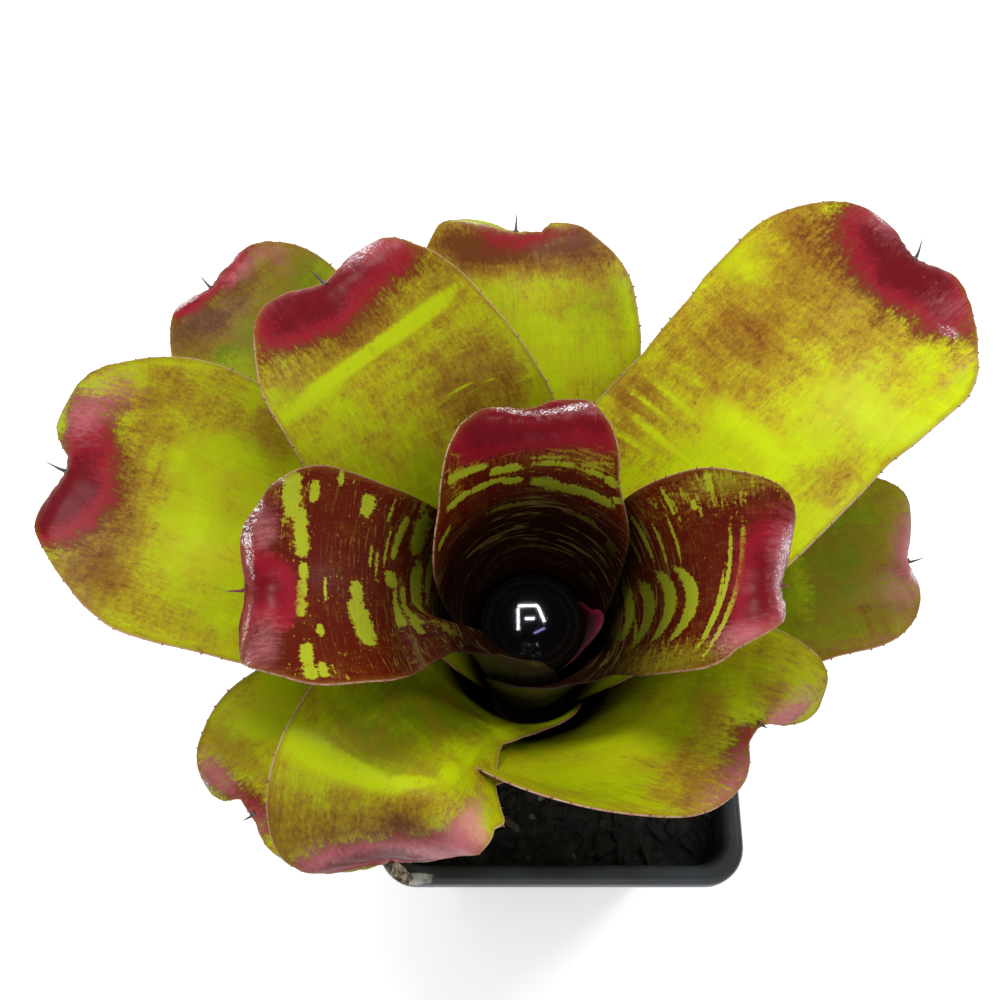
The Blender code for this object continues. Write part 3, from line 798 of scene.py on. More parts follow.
LEAVES = [
    leaf(
        azimuth=-15, rise=(11.2, 129), shoulder=(15, 151), tip=(19.5, 168), widths=(12, 15, 12, 6.5),
        width_at=(0, 0.4, 0.7), channel=40, end=15, notch=0, curl=0, dimple=0, opens=2, open=3, wave=0,
        spine=(0, 0), teeth=0,
    ),
    leaf(
        azimuth=92, rise=(15, 150), shoulder=(25, 184), tip=(41, 206), widths=(20, 33, 32, 25),
        width_at=(0, 0.35, 0.7), channel=48, end=13, notch=1, curl=75, curl_length=13, dimple=1, roll=7,
        opens=0.55, open=1,
        cut=(
            (-1, 0), (-0.8, 0), (-0.6, -2.5), (-0.3, -3), (0, -1), (0.25, 1.5), (0.6, 3), (0.8, 2.5),
            (1, 1),
        ),
        sides=((0, 1, 1.14), (12, 0.98, 1.2), (22, 1, 1.26), (45, 1, 1.2), (70, 1, 1.1), (90, 1, 1)),
        spine=(0, 0),
    ),
    leaf(
        azimuth=184, rise=(16.6, 150), shoulder=(28, 194), tip=(75, 202), widths=(20, 27, 28, 33),
        width_at=(0, 0.35, 0.55), channel=40, end=22, notch=0, curl=64, curl_length=13, dimple=1.5,
        roll=-3, yaw=4, opens=0.35, open=0.8,
        cut=((-1, 0), (-0.6, 3), (-0.3, 0), (0, -3), (0.3, -4), (0.5, -3), (0.8, -0.5), (1, 0)),
        sides=(
            (0, 0.97, 1), (15, 0.92, 1), (35, 0.91, 0.9), (50, 0.95, 0.74), (56, 0.97, 0.78),
            (62, 1, 0.93), (66, 1, 1.25), (70, 1, 1.5), (78, 1, 1.5), (95, 1, 1.3), (120, 1, 1.3),
        ),
        hug=(1, (
            (0, 500), (36, 80), (44, 36), (50, 27), (56, 22.5), (62, 17), (68, 14.5), (80, 15.5),
            (90, 16.6),
        )),
        spine=(0.9, 0),
    ),
    leaf(
        azimuth=-5, rise=(18.8, 150), shoulder=(29, 196), tip=(64, 204), widths=(24, 31, 28, 29),
        width_at=(0, 0.35, 0.6), channel=40, end=22, notch=0, curl=75, curl_length=13, dimple=1.5, roll=4,
        yaw=4, opens=0.35, open=0.8,
        cut=((-1, 2.5), (-0.8, 5.5), (-0.45, 2), (-0.2, 0), (0.3, -1.5), (0.8, -1.5), (1, -1)),
        sides=(
            (0, 0.86, 1.03), (20, 0.85, 1.04), (40, 0.82, 1.04), (52, 0.7, 1), (58, 0.67, 1),
            (63, 0.86, 1), (66, 1.2, 1), (70, 1.45, 1), (78, 1.45, 1), (100, 1.3, 1), (120, 1.3, 1),
        ),
        hug=(-1, (
            (0, 500), (40, 80), (54, 31), (58, 27.5), (62, 23.5), (66, 20.5), (72, 19.5), (80, 19),
        )),
        spine=(0.45, 0),
    ),
    leaf(
        azimuth=121, sweep=4, rise=(19.5, 140), shoulder=(40, 190), tip=(105, 206),
        widths=(26, 36, 37, 36), width_at=(0, 0.3, 0.6), channel=28, curl=45, opens=0.25, open=0.6,
        cut=(
            (-1, 0), (-0.8, 0.5), (-0.6, -1.5), (-0.3, -1), (0, 0), (0.5, 0), (0.75, 1), (0.9, 2.5),
            (1, 2),
        ),
        sides=((0, 0.92, 1), (20, 0.89, 1), (40, 0.95, 1), (60, 1, 1)), spine=(1, 16),
    ),
    leaf(
        azimuth=39, sweep=2, rise=(20.3, 140), shoulder=(50, 187), tip=(151, 199),
        widths=(28, 36, 39, 38), channel=20, end=37, notch=4, curl=35, roll=-3, opens=0.25,
        cut=(
            (-1, 2), (-0.85, 5), (-0.65, 4.5), (-0.5, 3.5), (-0.25, 0), (0.2, -1), (0.5, -2.5), (0.8, -2),
            (1, -1),
        ),
        sides=(
            (0, 1, 1), (10, 1.05, 1), (35, 1.1, 1), (52, 1.05, 1), (60, 1, 0.96), (80, 1, 0.91),
            (110, 1, 0.96),
        ),
        spine=(1.15, 30),
    ),
    leaf(
        azimuth=226, sweep=14, rise=(24.3, 148), shoulder=(70, 222), tip=(76, 153),
        widths=(28, 40, 33, 32), width_at=(0, 0.3, 0.55), channel=30, end=32, notch=1, dimple=1, skew=-6,
        lean=-0.05, curl=0, yaw=32, opens=0.4, open=0.9,
        cut=(
            (-1, 4), (-0.8, 3), (-0.5, -6), (-0.2, -9), (0.1, -7), (0.4, -1.5), (0.6, 4), (0.8, 8),
            (1, 9),
        ),
        sides=(
            (0, 1, 0.9), (14, 0.97, 0.94), (26, 0.97, 1.01), (38, 0.98, 1.06), (50, 1, 0.95),
            (63, 1, 0.76), (80, 1, 0.48), (88, 1, 0.5), (96, 1, 0.62), (104, 1, 0.86), (112, 1, 1.02),
            (130, 1, 0.8),
        ),
        crest=(1.3, 32, 4), flap=(13, 38), spine=(0.5, 0),
    ),
    leaf(
        azimuth=165.5, sweep=-1, rise=(23, 136), shoulder=(52, 178), tip=(142, 180),
        widths=(26, 26, 37, 40.5), width_at=(0, 0.3, 0.58), end=42, notch=4, roll=-6,
        cut=(
            (-1, -2), (-0.8, -4), (-0.55, -7), (-0.34, -8.5), (-0.2, -4), (-0.1, 0), (0.2, 0), (0.45, 0),
            (0.62, 3.5), (0.8, 6.5), (0.95, 6.5), (1, 4),
        ),
        sides=((0, 1.03, 1), (30, 1.04, 1.02), (50, 1.04, 1.06), (70, 1, 1.04)), spine=(1.1, -8),
    ),
    leaf(
        azimuth=91, sweep=1, rise=(27, 134), shoulder=(52, 174), tip=(125, 180),
        widths=(26, 25, 31, 33.5), width_at=(0, 0.3, 0.58), channel=25, end=30, notch=5, curl=45,
        cut=(
            (-1, 2), (-0.8, 2.5), (-0.5, 1.5), (-0.33, 0), (-0.24, 4.5), (-0.12, 0), (0, -5), (0.15, -6),
            (0.35, -7), (0.5, -6), (0.7, -3), (0.85, 0), (1, 1),
        ),
        sides=((0, 0.97, 1), (12, 0.96, 1), (26, 1.02, 1), (45, 1.13, 1), (70, 1.14, 1)),
        spine=(1.15, -6),
    ),
    leaf(
        azimuth=-38, sweep=12, rise=(27.5, 135), shoulder=(45, 166), tip=(77, 158),
        widths=(30, 44, 52, 37), width_at=(0, 0.28, 0.52), channel=45, end=42, notch=5, dimple=3.5,
        skew=6, lean=0.2, yaw=-9, opens=0.35, open=0.9,
        cut=(
            (-1, 6), (-0.85, 4), (-0.7, 2), (-0.5, 4), (-0.3, 6), (-0.15, 6.5), (-0.02, 2.5), (0.1, -6),
            (0.25, -8.5), (0.4, -8.5), (0.6, -7), (0.8, -5), (1, -3),
        ),
        sides=((0, 1.04, 1), (12, 1.2, 1), (26, 1.27, 1), (40, 1.14, 1), (55, 1.02, 1), (75, 1, 1)),
        puffs=((-17, 13, 9, 2.6), (9, 4, 8, 1.8)), spine=(0.45, 0),
    ),
    leaf(
        azimuth=213, sweep=1, rise=(28, 130), shoulder=(55, 160), tip=(102, 140), widths=(31, 35, 30, 29),
        channel=30, roll=-5, opens=0.2, open=0.5,
        cut=((-1, -1), (-0.4, -0.5), (-0.28, 1.5), (-0.18, 7), (-0.05, 5), (0.4, 6), (0.7, 6), (1, 3)),
        sides=((0, 1.06, 1), (10, 1.09, 1), (35, 1.08, 1), (55, 1, 1)), spine=(0.6, 0),
    ),
    leaf(
        azimuth=132, sweep=1, rise=(29.5, 130), shoulder=(60, 165), tip=(154, 166),
        widths=(31, 34, 30, 31), end=32, roll=-6, opens=0.2, open=0.5,
        cut=((-1, 0), (-0.45, 0.5), (-0.28, 3), (-0.15, 0), (0.4, 1), (0.65, 4), (0.85, 6), (1, 5)),
    ),
    leaf(
        azimuth=13, sweep=-1, rise=(31, 130), shoulder=(60, 155), tip=(125, 142), widths=(31, 34, 30, 29),
        end=30, curl=60, roll=10, opens=0.2, open=0.5,
        cut=(
            (-1, 2.5), (-0.85, 3), (-0.6, 3.5), (-0.35, 2.5), (-0.2, 0), (0.2, -2.5), (0.5, -1.5), (1, 0),
        ),
        sides=((0, 0.93, 1), (40, 0.93, 1), (60, 1, 1)),
    ),
]

# %% [markdown]
# The leaf's formula.
# It lays a point (u along, v across) on the leaf: a curve for the middle line, half widths along it, an arc
# across it that changes from the sheath's radius to the blade's shallow trough, and a rounded end that folds
# down around a notch. Pleats, swellings and folds are added to it. A formula is chosen over sculpting by
# hand because it also tells every point how far it lies from the leaf's end and middle, which the colours
# need.

# %% Leaf formula
LEAF_FOOT = 103.0
LEAF_THICKNESS = 1.0
CREASE_HEIGHT = 0.22
CREASE_REACH = 17.0
CREASES = 17.0
SWELL_HEIGHT = 0.35


def smooth(x):
    """Eases from 0 to 1 while x goes from 0 to 1."""
    x = np.clip(x, 0.0, 1.0)
    return x * x * (3.0 - 2.0 * x)


def unit(a):
    return a / np.linalg.norm(a, axis=-1)[..., None]


def midline(row, order):
    """Arc lengths, (radius, height) points and length of a leaf's middle line."""
    foot = (INNER_RADIUS + SHEATH_PITCH * order, LEAF_FOOT)
    p0, p1, p2, p3 = (np.array(p, float) for p in (foot, row["rise"], row["shoulder"], row["tip"]))
    t = np.linspace(0, 1, 80)[:, None]
    points = (1 - t) ** 3 * p0 + 3 * (1 - t) ** 2 * t * p1 + 3 * (1 - t) * t * t * p2 + t**3 * p3
    step = np.diff(points, axis=0)
    size = np.linalg.norm(step, axis=1)
    angle = np.arctan2(step[:, 1], step[:, 0])
    total = size.sum()
    middle = np.cumsum(size) - size / 2
    angle = angle - math.radians(row["curl"]) * smooth((middle - total) / row["curl_length"] + 1)
    step = np.stack([np.cos(angle) * size, np.sin(angle) * size], 1)
    points = np.vstack([p0, p0 + np.cumsum(step, 0)])
    past_end = points[-1] + 15 * unit(step[-1])
    return np.concatenate([[0], np.cumsum(size), [total + 15]]), np.vstack([points, past_end]), total


def half_width(row, f):
    """Half width of the leaf at the fraction f of its length."""
    foot, mouth, waist, blade = row["widths"]
    at_foot, at_mouth, at_waist = row["width_at"]
    lower = foot + (mouth - foot) * smooth((f - at_foot) / (at_mouth - at_foot))
    middle = mouth + (waist - mouth) * smooth((f - at_mouth) / (at_waist - at_mouth))
    upper = waist + (blade - waist) * smooth((f - at_waist) / (0.85 - at_waist))
    return np.where(f < at_mouth, lower, np.where(f < at_waist, middle, upper))


def end_creases(across, from_end, order):
    """Fine pleats that run together at the notch, and slow swellings of the blade, mm."""
    turn = np.arctan2(across, from_end + 4.0)
    away = np.hypot(across, from_end + 4.0)
    fade = np.exp(-((away / CREASE_REACH) ** 2)) * smooth(away / 6)
    pleats = CREASE_HEIGHT * fade * np.cos(CREASES * turn + 0.6 * np.sin(3 * turn + order))
    swell = np.sin(across / 8.5 + order) * np.sin(from_end / 13.0 + 2.1 * order)
    return pleats + SWELL_HEIGHT * swell * smooth(from_end / 12)


def side_share(row, from_end, v):
    """How much of the half width is kept at this side of the leaf."""
    at, minus, plus = zip(*row["sides"])
    return np.where(v < 0, np.interp(from_end, at, minus), np.interp(from_end, at, plus))


def puffs_and_crest(row, across, from_end):
    """Soft swellings beside the notch, and the ridge where a hanging end folds over."""
    height, place, spread = row["crest"]
    lift = height * np.exp(-(((from_end - place) / spread) ** 2))
    for a, e, reach, rise in row["puffs"]:
        lift = lift + rise * np.exp(-(((across - a) ** 2 + (from_end - e) ** 2) / reach**2))
    return lift


def leaf_surface(row, order, u, v, fine=True):
    """Places on the leaf's middle surface, with how far across and from the end each lies, mm."""
    table, points, total = midline(row, order)
    swing = row["sweep"] * smooth((table / total - 0.3) / 0.7)
    azimuth = np.radians(row["azimuth"] + swing)
    line = np.stack([points[:, 0] * np.cos(azimuth), points[:, 0] * np.sin(azimuth), points[:, 1]], 1)
    edge = u * (total - 0.34 * row["end"])
    reach = np.clip((edge - total) / row["end"] + 1, 0, 1)
    v = v * np.sqrt(1 - reach**2)
    round_off = (1 - np.sqrt(1 - v * v)) / (1 - reach)
    slant = row["skew"] * v - row["notch"] * np.exp(-((v / 0.2) ** 2)) - np.interp(v, *zip(*row["cut"]))
    s = u * total - round_off * (u * total - edge) + slant * smooth(2 * u - 1)
    f = s / total

    def at(place):
        return np.stack([np.interp(place, table, line[:, i]) for i in range(3)], -1)

    centre = at(s)
    along = unit(at(s + 1.0) - at(s - 1.0))
    radius = np.hypot(centre[..., 0], centre[..., 1])
    outward = np.stack([centre[..., 0] / radius, centre[..., 1] / radius, 0 * radius], -1)
    round_it = np.stack([-outward[..., 1], outward[..., 0], 0 * radius], -1)
    open_ = smooth((f - row["opens"]) / (row["open"] - row["opens"]))
    turn = smooth((f - row["opens"]) / (1 - row["opens"]))
    bend = (1 - open_) / radius + open_ * math.radians(row["channel"]) / row["widths"][3]
    across = (v - row["lean"] * v * v) * half_width(row, f) * side_share(row, total - s, v)
    angle = across * bend
    side = np.sin(angle) / bend
    lift = (1 - np.cos(angle)) / bend
    heading = np.interp(s, table, azimuth) + math.radians(row["yaw"]) * turn
    flat = np.stack([-np.sin(heading), np.cos(heading), 0 * radius], -1)
    flat = (1 - open_)[..., None] * round_it + open_[..., None] * flat
    flat = unit(flat - (open_ * (flat * along).sum(-1))[..., None] * along)
    up = (1 - open_)[..., None] * -outward + open_[..., None] * unit(np.cross(along, flat))
    up = unit(up - (up * flat).sum(-1)[..., None] * flat)
    fold = smooth((s - total) / (1.6 * row["curl_length"]) + 1)
    lift = lift - row["dimple"] * np.exp(-((v / 0.22) ** 2)) * fold
    lift = lift + row["wave"] * open_ * np.abs(v) ** 3 * np.sin(s / 6.5 + 1.7 * order + 2 * v)
    lift = lift + open_ * puffs_and_crest(row, across, total - s)
    if row["flap"][1]:
        over = 1.5 * np.log1p(np.exp((across - row["flap"][0]) / 1.5))
        fold = math.radians(row["flap"][1]) * smooth((total - s - 22) / 12) * smooth((95 - total + s) / 20)
        side = side - over * (1 - np.cos(fold))
        lift = lift - over * np.sin(fold)
    if fine:
        lift = lift + open_ * end_creases(across, total - s, order)
    roll = np.radians(row["roll"]) * turn
    side_axis = np.cos(roll)[..., None] * flat + np.sin(roll)[..., None] * up
    up_axis = np.cos(roll)[..., None] * up - np.sin(roll)[..., None] * flat
    place = centre + side[..., None] * side_axis + lift[..., None] * up_axis
    if row["hug"][0]:
        away = np.hypot(place[..., 0], place[..., 1])
        limit = np.interp(total - s, *zip(*row["hug"][1]))
        kept = 1 - np.maximum(away - limit, 0) / away * smooth((row["hug"][0] * v - 0.05) / 0.35)
        place = place * np.stack([kept, kept, np.ones_like(kept)], -1)
    return place + np.array((*STEM_AXIS, 0.0)), across, total - s

# %% [markdown]
# What the leaves are coloured by.
# The colours of a leaf follow its own surface: crimson around the notch, bronze that thins out down the
# blade, lime marks that run straight across. So each point of a leaf carries its own numbers: where it lies
# on the leaf, how far the margin is, how deep in the rosette it is, and how strong each colour is there.
# Depth darkens the colour as painted shade, since little light reaches far into the rosette. The strengths
# are soft spots, each given by its centre, its reach and its amount. Dark and lit are spots too, of painted
# shade and painted light: where a leaf lies in the rosette's deep shadow, and where light falls into it.
# Each leaf's brightness factor scales its colour, partly for its own tone and partly as painted light for
# how much light the leaf catches. The finishes break the spots up with noise, so that no mark has a drawn
# edge.

# %% Colour plan of each leaf
# A spot is (across, from the end, reach across, reach along, amount). A mark is (across, from the end, half
# length across, half width along, amount), and a slanted or bowed one adds (slant, bow). Lengths are in mm.
SPOT_KINDS = ("pigment", "blush", "rose", "tan", "olive", "gloss", "dark", "lit")


# A leaf's brightness factor is partly its own tone and partly painted light, for how much light the leaf
# catches.
def plan(kind, light_and_tone=1.0, **given):
    return {**dict.fromkeys((*SPOT_KINDS, "marks"), ()), "kind": kind, "light_and_tone": light_and_tone, **given}


HEART = plan("heart", blush=[(0, 0, 40, 60, 1.0)])

BACK_INNER = plan(
    "maroon", blush=[(-2, 3, 18, 9, 1.3), (6, 9, 16, 5, 0.4), (19, 4, 10, 6, 0.9), (-20, 5, 9, 6, 0.8)],
    rose=[(-17, 3, 6, 4, 0.4), (20, 3, 6, 3, 0.25)],
    tan=[(-18, 14, 12, 7, 0.8), (14, 12, 14, 5, 0.5), (-2, 17, 12, 5, 0.5), (24, 16, 5, 10, 0.5)],
    marks=[
        (-14, 25, 11, 1.6, 1, 0.04, 0.004), (-4, 24, 4, 1.8, 1), (5, 22.4, 3, 1.3, 1, -0.1, 0),
        (13, 20.8, 6, 1.1, 0.9, -0.06, 0), (23, 20, 5, 1.2, 0.9), (7, 18, 5, 1.5, 1, -0.12, 0),
        (20, 13.6, 8, 1.3, 1, -0.16, 0), (-23, 18.4, 2.4, 1.4, 1), (-18, 18, 3, 1.2, 0.6),
        (-7, 17.6, 6, 1, 0.6), (-26, 36, 2.4, 1.6, 0.9), (5, 31.5, 8, 1, 0.45, -0.02, 0),
        (-16, 33, 4, 0.9, 0.4, 0.05, 0), (-20, 53, 5, 1.6, 0.4, 0.1, 0), (2, 49, 14, 1.2, 0.3, 0, 0.02),
        (14, 56, 6, 1, 0.3, 0.3, 0), (-27, 22, 4, 1, 0.7, 0.3, 0), (30, 26, 4, 1, 0.6, 0.1, 0),
    ],
    gloss=[(-12, 2.4, 8, 1.4, 1.0), (4, 2.4, 10, 1.4, 1.0)],
    dark=[(-27, 62, 7, 22, 0.9), (27, 62, 7, 22, 0.9)],
)

LEFT_INNER = plan(
    "maroon", blush=[(2, 9, 9, 7, 1.1), (0, 1, 26, 5, 0.75), (12, 12, 6, 3, 0.4)],
    rose=[(2, 0, 24, 4, 0.5), (-13, 8, 7, 4, 0.7), (15, 8, 9, 5, 0.5), (24, 7, 6, 5, 0.4)],
    tan=[
        (-18, 14, 13, 4, 0.8), (16, 45, 9, 14, 0.25), (28, 20, 5, 10, 0.5), (-28, 40, 4, 16, 0.4),
        (-4, 34, 16, 14, 0.12), (12, 58, 8, 12, 0.35), (30, 68, 16, 12, 0.7),
    ],
    marks=[
        (-22, 13, 7, 2.2, 1, 0.08, 0), (-12, 16, 7, 1.9, 1, 0.1, 0), (-23, 18, 3, 1.2, 0.8),
        (-2, 17, 2.6, 1.2, 1), (2.5, 16.6, 2.2, 1.5, 1), (7.5, 16.2, 3.2, 1.5, 1), (14, 20.6, 2.2, 1, 1),
        (22, 16.6, 4, 1.6, 1, -0.04, 0), (28, 16.8, 2.6, 1.8, 1), (27, 19.6, 3, 1.2, 0.9),
        (2, 22.6, 4, 0.5, 0.8), (-28, 24, 3, 0.7, 0.7), (10.5, 32, 7, 3.1, 1.3, 0.17, 0),
        (1.6, 31.2, 3, 1.8, 1.1), (-22, 32, 3.2, 1.9, 1.1), (-9, 35, 4, 0.5, 0.6), (-7, 37, 5, 0.5, 0.6),
        (-12, 39.5, 6, 0.5, 0.7, -0.05, 0), (-22, 38.5, 4, 0.5, 0.6),
        (-16, 42.6, 6.5, 1.1, 0.9, -0.12, 0), (-4, 42, 2.4, 2.4, 0.9, 0.2, 0),
        (4, 43.6, 6, 1, 0.9, 0.05, 0), (3, 46.4, 7, 1.1, 0.9), (-4, 50, 6, 0.9, 0.8, 0.1, 0),
        (-19, 48.6, 6.5, 2.4, 0.75, 0.05, 0), (-3, 52.4, 9, 2, 0.8, 0.12, 0),
        (10, 46, 3, 0.8, 0.7, 0.2, 0), (-12, 56, 12, 1.4, 0.6, 0.1, 0), (-28, 46, 4, 0.9, 0.6, 0.1, 0),
        (11, 52, 3, 2.4, 0.45, 0.5, 0), (8, 60, 3, 1.2, 0.4, 0.2, 0), (-4, 62, 8, 0.9, 0.4, 0.05, 0),
        (-2, 66, 8, 0.9, 0.35, 0.05, 0),
    ],
    gloss=[
        (-26, 10, 3, 2, 1.1), (-20, 6.6, 5, 1.7, 1.1), (-12, 4, 6, 1.6, 1.1), (-5, 2.6, 5, 1.3, 0.8),
        (12, 2.2, 9, 1.5, 0.9), (22, 5.6, 4, 1.3, 0.6),
    ],
    dark=[(26, 62, 10, 12, 0.45)], lit=[(-2, 58, 16, 10, 0.22)],
)

RIGHT_INNER = plan(
    "maroon", blush=[(2, 9, 13, 7, 1.0), (-12, 11, 8, 6, 0.7), (0, 1, 24, 6, 0.6)],
    rose=[(-4, 2, 20, 5, 0.8), (-17, 13, 6, 8, 0.9), (10, 6, 8, 3, 0.3)],
    tan=[(-19, 45, 8, 40, 0.8), (22, 26, 8, 24, 0.45), (-5, 60, 12, 22, 0.35), (26, 16, 5, 12, 0.6)],
    olive=[(26, 14, 6, 12, 0.6), (-21, 30, 6, 20, 0.7)],
    marks=[
        (-3.5, 28, 10.5, 2.2, 1.3, -0.06, 0.052), (-2.5, 35.6, 10.5, 2.4, 1.3, -0.06, 0.05),
        (-2.5, 44.6, 10.5, 2.7, 1.1, -0.1, 0.05), (1, 55, 9, 3, 0.8, -0.05, 0.03),
        (-2, 63, 10, 1.8, 0.7, -0.05, 0.03), (0, 70, 10, 1.4, 0.6, 0, 0.02), (-8, 50, 5, 1, 0.6, 0.3, 0),
        (-4, 15.6, 19, 0.8, 0.9, -0.28, 0.006), (-2, 18.2, 17, 0.6, 0.8, -0.26, 0.006),
        (-8, 21, 12, 0.5, 0.6, -0.3, 0.006), (-6, 65, 4, 7, 0.45), (14, 31, 7, 0.5, 0.6, 0.02, 0),
        (14, 36, 7, 0.6, 0.6, 0.05, 0), (18, 41, 8, 0.8, 0.7, 0.08, 0), (18, 46, 7, 0.7, 0.6, 0.1, 0),
        (21, 23, 1.5, 0.9, 0.7), (24, 29, 4, 0.6, 0.6), (26, 18, 3, 1, 0.6), (-14, 56, 2, 2, 0.5, 0.4, 0),
        (-9, 76, 3, 6, 0.4),
    ],
    gloss=[(-6, 2, 12, 3.5, 1.1), (10, 3, 6, 3, 0.8)], dark=[(-34, 86, 30, 9, 1.3)],
    lit=[(-2, 58, 18, 12, 0.32)],
)

BACK_MIDDLE = plan(
    "lime",
    pigment=[
        (-18, 46, 20, 18, 0.7), (0, 20, 40, 8, 0.6), (2, 20, 12, 8, 0.45), (18, 42, 22, 22, 0.25),
        (-20, 58, 16, 8, 0.3), (-30, 24, 8, 12, 0.3),
    ],
    blush=[(2, 6, 21, 11, 1.05), (4, 13, 11, 7, 0.6), (-20, 8, 14, 10, 0.6), (22, 9, 13, 9, 0.7)],
    rose=[(-20, 4, 12, 7, 0.6), (22, 4, 10, 5, 0.3)],
    olive=[(20, 50, 18, 14, 0.45), (28, 24, 14, 8, 0.35), (4, 66, 10, 12, 0.6)],
    marks=[
        (0, 28.8, 33, 2.6, 1.2, 0.05, 0), (-14, 28.8, 14, 2.6, 1.0, 0.03, 0), (26, 31.4, 14, 2.4, 0.5),
        (-12, 50.6, 8, 0.7, 0.8, 0.06, 0), (-22, 52.4, 7, 0.5, 0.7, 0.05, 0), (-15, 34.4, 7, 0.6, 0.5),
        (-30, 41, 5, 0.5, 0.5), (-32, 56, 4, 0.8, 0.5), (-18, 42, 4, 0.5, 0.4),
    ],
    gloss=[(-14, 3, 9, 4, 0.9), (22, 4, 5, 3, 0.5)],
)

RIGHT_BACK = plan(
    "lime",
    pigment=[
        (2, 25, 26, 9, 0.55), (8, 44, 24, 20, 0.42), (22, 62, 18, 16, 0.4), (-30, 70, 10, 12, 0.4),
        (28, 91, 14, 8, 0.7), (-14, 38, 20, 10, 0.25), (22, 104, 10, 6, 0.5), (-32, 26, 8, 10, 0.2),
        (34, 20, 10, 10, 0.35), (24, 60, 18, 60, 0.3), (16, 20, 20, 10, 0.3), (8, 70, 16, 10, 0.2),
    ],
    blush=[(-2, 8, 18, 11, 1.15), (0, 17, 24, 9, 0.6), (14, 6, 12, 8, 0.7), (-20, 16, 10, 9, 0.6)],
    rose=[(14, 5, 10, 5, 0.5), (-20, 14, 10, 8, 0.45), (-35, 26, 5, 14, 0.35)],
    olive=[(-30, 72, 10, 12, 0.4)],
    marks=[
        (-2, 77, 16, 5, 0.5, 0.03, 0), (-8, 92, 14, 6, 0.5, 0.1, 0), (20, 84, 12, 1.5, 0.45, 0.02, 0),
        (24, 90, 9, 1.3, 0.5, 0.04, 0), (16, 95, 13, 1.6, 0.5, 0.05, 0), (22, 101, 10, 1.4, 0.45, 0.1, 0),
        (32, 42, 7, 7, 0.3), (-22, 52, 16, 6, 0.25),
    ],
    gloss=[(-24, 21, 4, 2, 0.8), (16, 3, 8, 2, 0.6)], light_and_tone=1.36,
)

LEFT_FRONT = plan(
    "lime",
    pigment=[
        (-8, 20, 32, 9, 0.75), (10, 34, 8, 10, 0.5), (22, 50, 4, 16, 0.5), (-26, 22, 6, 10, 0.4),
        (4, 25, 7, 5, 0.5),
    ],
    blush=[(-2, 3, 30, 10, 1.05), (10, 10, 13, 11, 0.9), (20, 20, 9, 10, 0.75), (-16, 7, 12, 8, 0.5)],
    rose=[
        (13, 11, 9, 8, 0.8), (-18, 10, 8, 7, 0.6), (24, 30, 5, 14, 0.8), (-4, 12, 12, 5, 0.4),
        (20, 25, 7, 7, 0.8),
    ],
    olive=[(-8, 60, 20, 25, 1.0), (-12, 40, 24, 6, 0.4), (0, 84, 12, 18, 0.8), (24, 34, 5, 8, 0.5)],
    marks=[
        (-14, 32.6, 18, 2.6, 1.1, 0, 0.001), (4, 35, 7, 2.4, 1.0, 0.35, 0), (12, 42, 3.2, 6, 0.7, 0.2, 0),
        (14.6, 55, 1.8, 12, 0.6), (14.6, 95, 2.2, 20, 0.8), (25, 101, 12, 5, 1.2),
    ],
    gloss=[(4, 2, 10, 1.5, 0.5)], dark=[(-14, 104, 20, 9, 1.2), (2, 114, 12, 9, 1.0)],
    lit=[(20, 98, 12, 9, 0.9), (32, 106, 8, 6, 0.9), (12, 90, 6, 8, 0.5)], light_and_tone=1.0,
)

LEFT_MIDDLE = plan(
    "lime",
    pigment=[
        (4, 22, 24, 9, 0.8), (-32, 42, 9, 22, 0.45), (28, 30, 13, 20, 0.62), (6, 32, 26, 7, 0.35),
        (-26, 24, 12, 9, 0.35), (-28, 56, 8, 8, 0.3), (34, 52, 6, 16, 0.3), (-20, 10, 12, 8, 0.3),
    ],
    blush=[(6, 9, 13, 11, 1.2), (-14, 7, 11, 9, 0.7), (17, 6, 9, 8, 0.7), (4, 17, 18, 8, 0.5)],
    rose=[(-16, 6, 9, 7, 0.7), (-26, 14, 9, 7, 0.4)],
    olive=[(-26, 56, 8, 10, 0.6), (-10, 40, 14, 8, 0.2)],
    marks=[(0, 46, 22, 7, 0.35, 0.08, 0), (-12, 36, 8, 4, 0.3)],
)

BACK_OUTER = plan(
    "lime",
    pigment=[(-4, 14, 24, 9, 1.2), (-22, 14, 10, 12, 0.6), (18, 12, 12, 10, 0.9), (-22, 34, 12, 14, 0.2)],
    blush=[(1, 11, 13, 6, 0.5), (-12, 8, 9, 5, 0.35), (8, 6, 12, 5, 0.45), (-28, 16, 5, 9, 0.3)],
    rose=[(-18, 7, 10, 4, 0.45), (6, 3, 12, 3, 0.4)],
    olive=[(-24, 32, 14, 18, 0.6), (6, 34, 8, 16, 0.3), (22, 16, 12, 10, 0.9)],
    marks=[(-4, 52, 12, 9, 0.3)], gloss=[(14, 2, 8, 2, 0.6)],
)

RIGHT_FRONT = plan(
    "lime",
    pigment=[
        (-12, 21, 20, 6, 0.6), (-44, 24, 12, 8, 0.25), (4, 54, 8, 14, 0.35), (8, 8, 10, 5, 0.5),
        (-26, 17, 11, 6, 0.6),
    ],
    blush=[(-15, 12, 13, 5, 0.5), (-4, 8, 6, 6, 0.6), (-28, 13, 8, 5, 0.3), (8, 0, 9, 4, 0.4)],
    rose=[(-18, 11, 11, 5, 0.65), (2, 1, 13, 5, 1.2), (-32, 15, 9, 5, 0.5)],
    olive=[(10, 18, 14, 22, 0.5), (-14, 26, 26, 6, 0.5), (-44, 30, 14, 8, 0.5), (4, 54, 9, 16, 0.6)],
    marks=[(-24, 36, 20, 7, 0.3, 0.1, 0), (-10, 50, 12, 7, 0.25, 0.1, 0)],
)

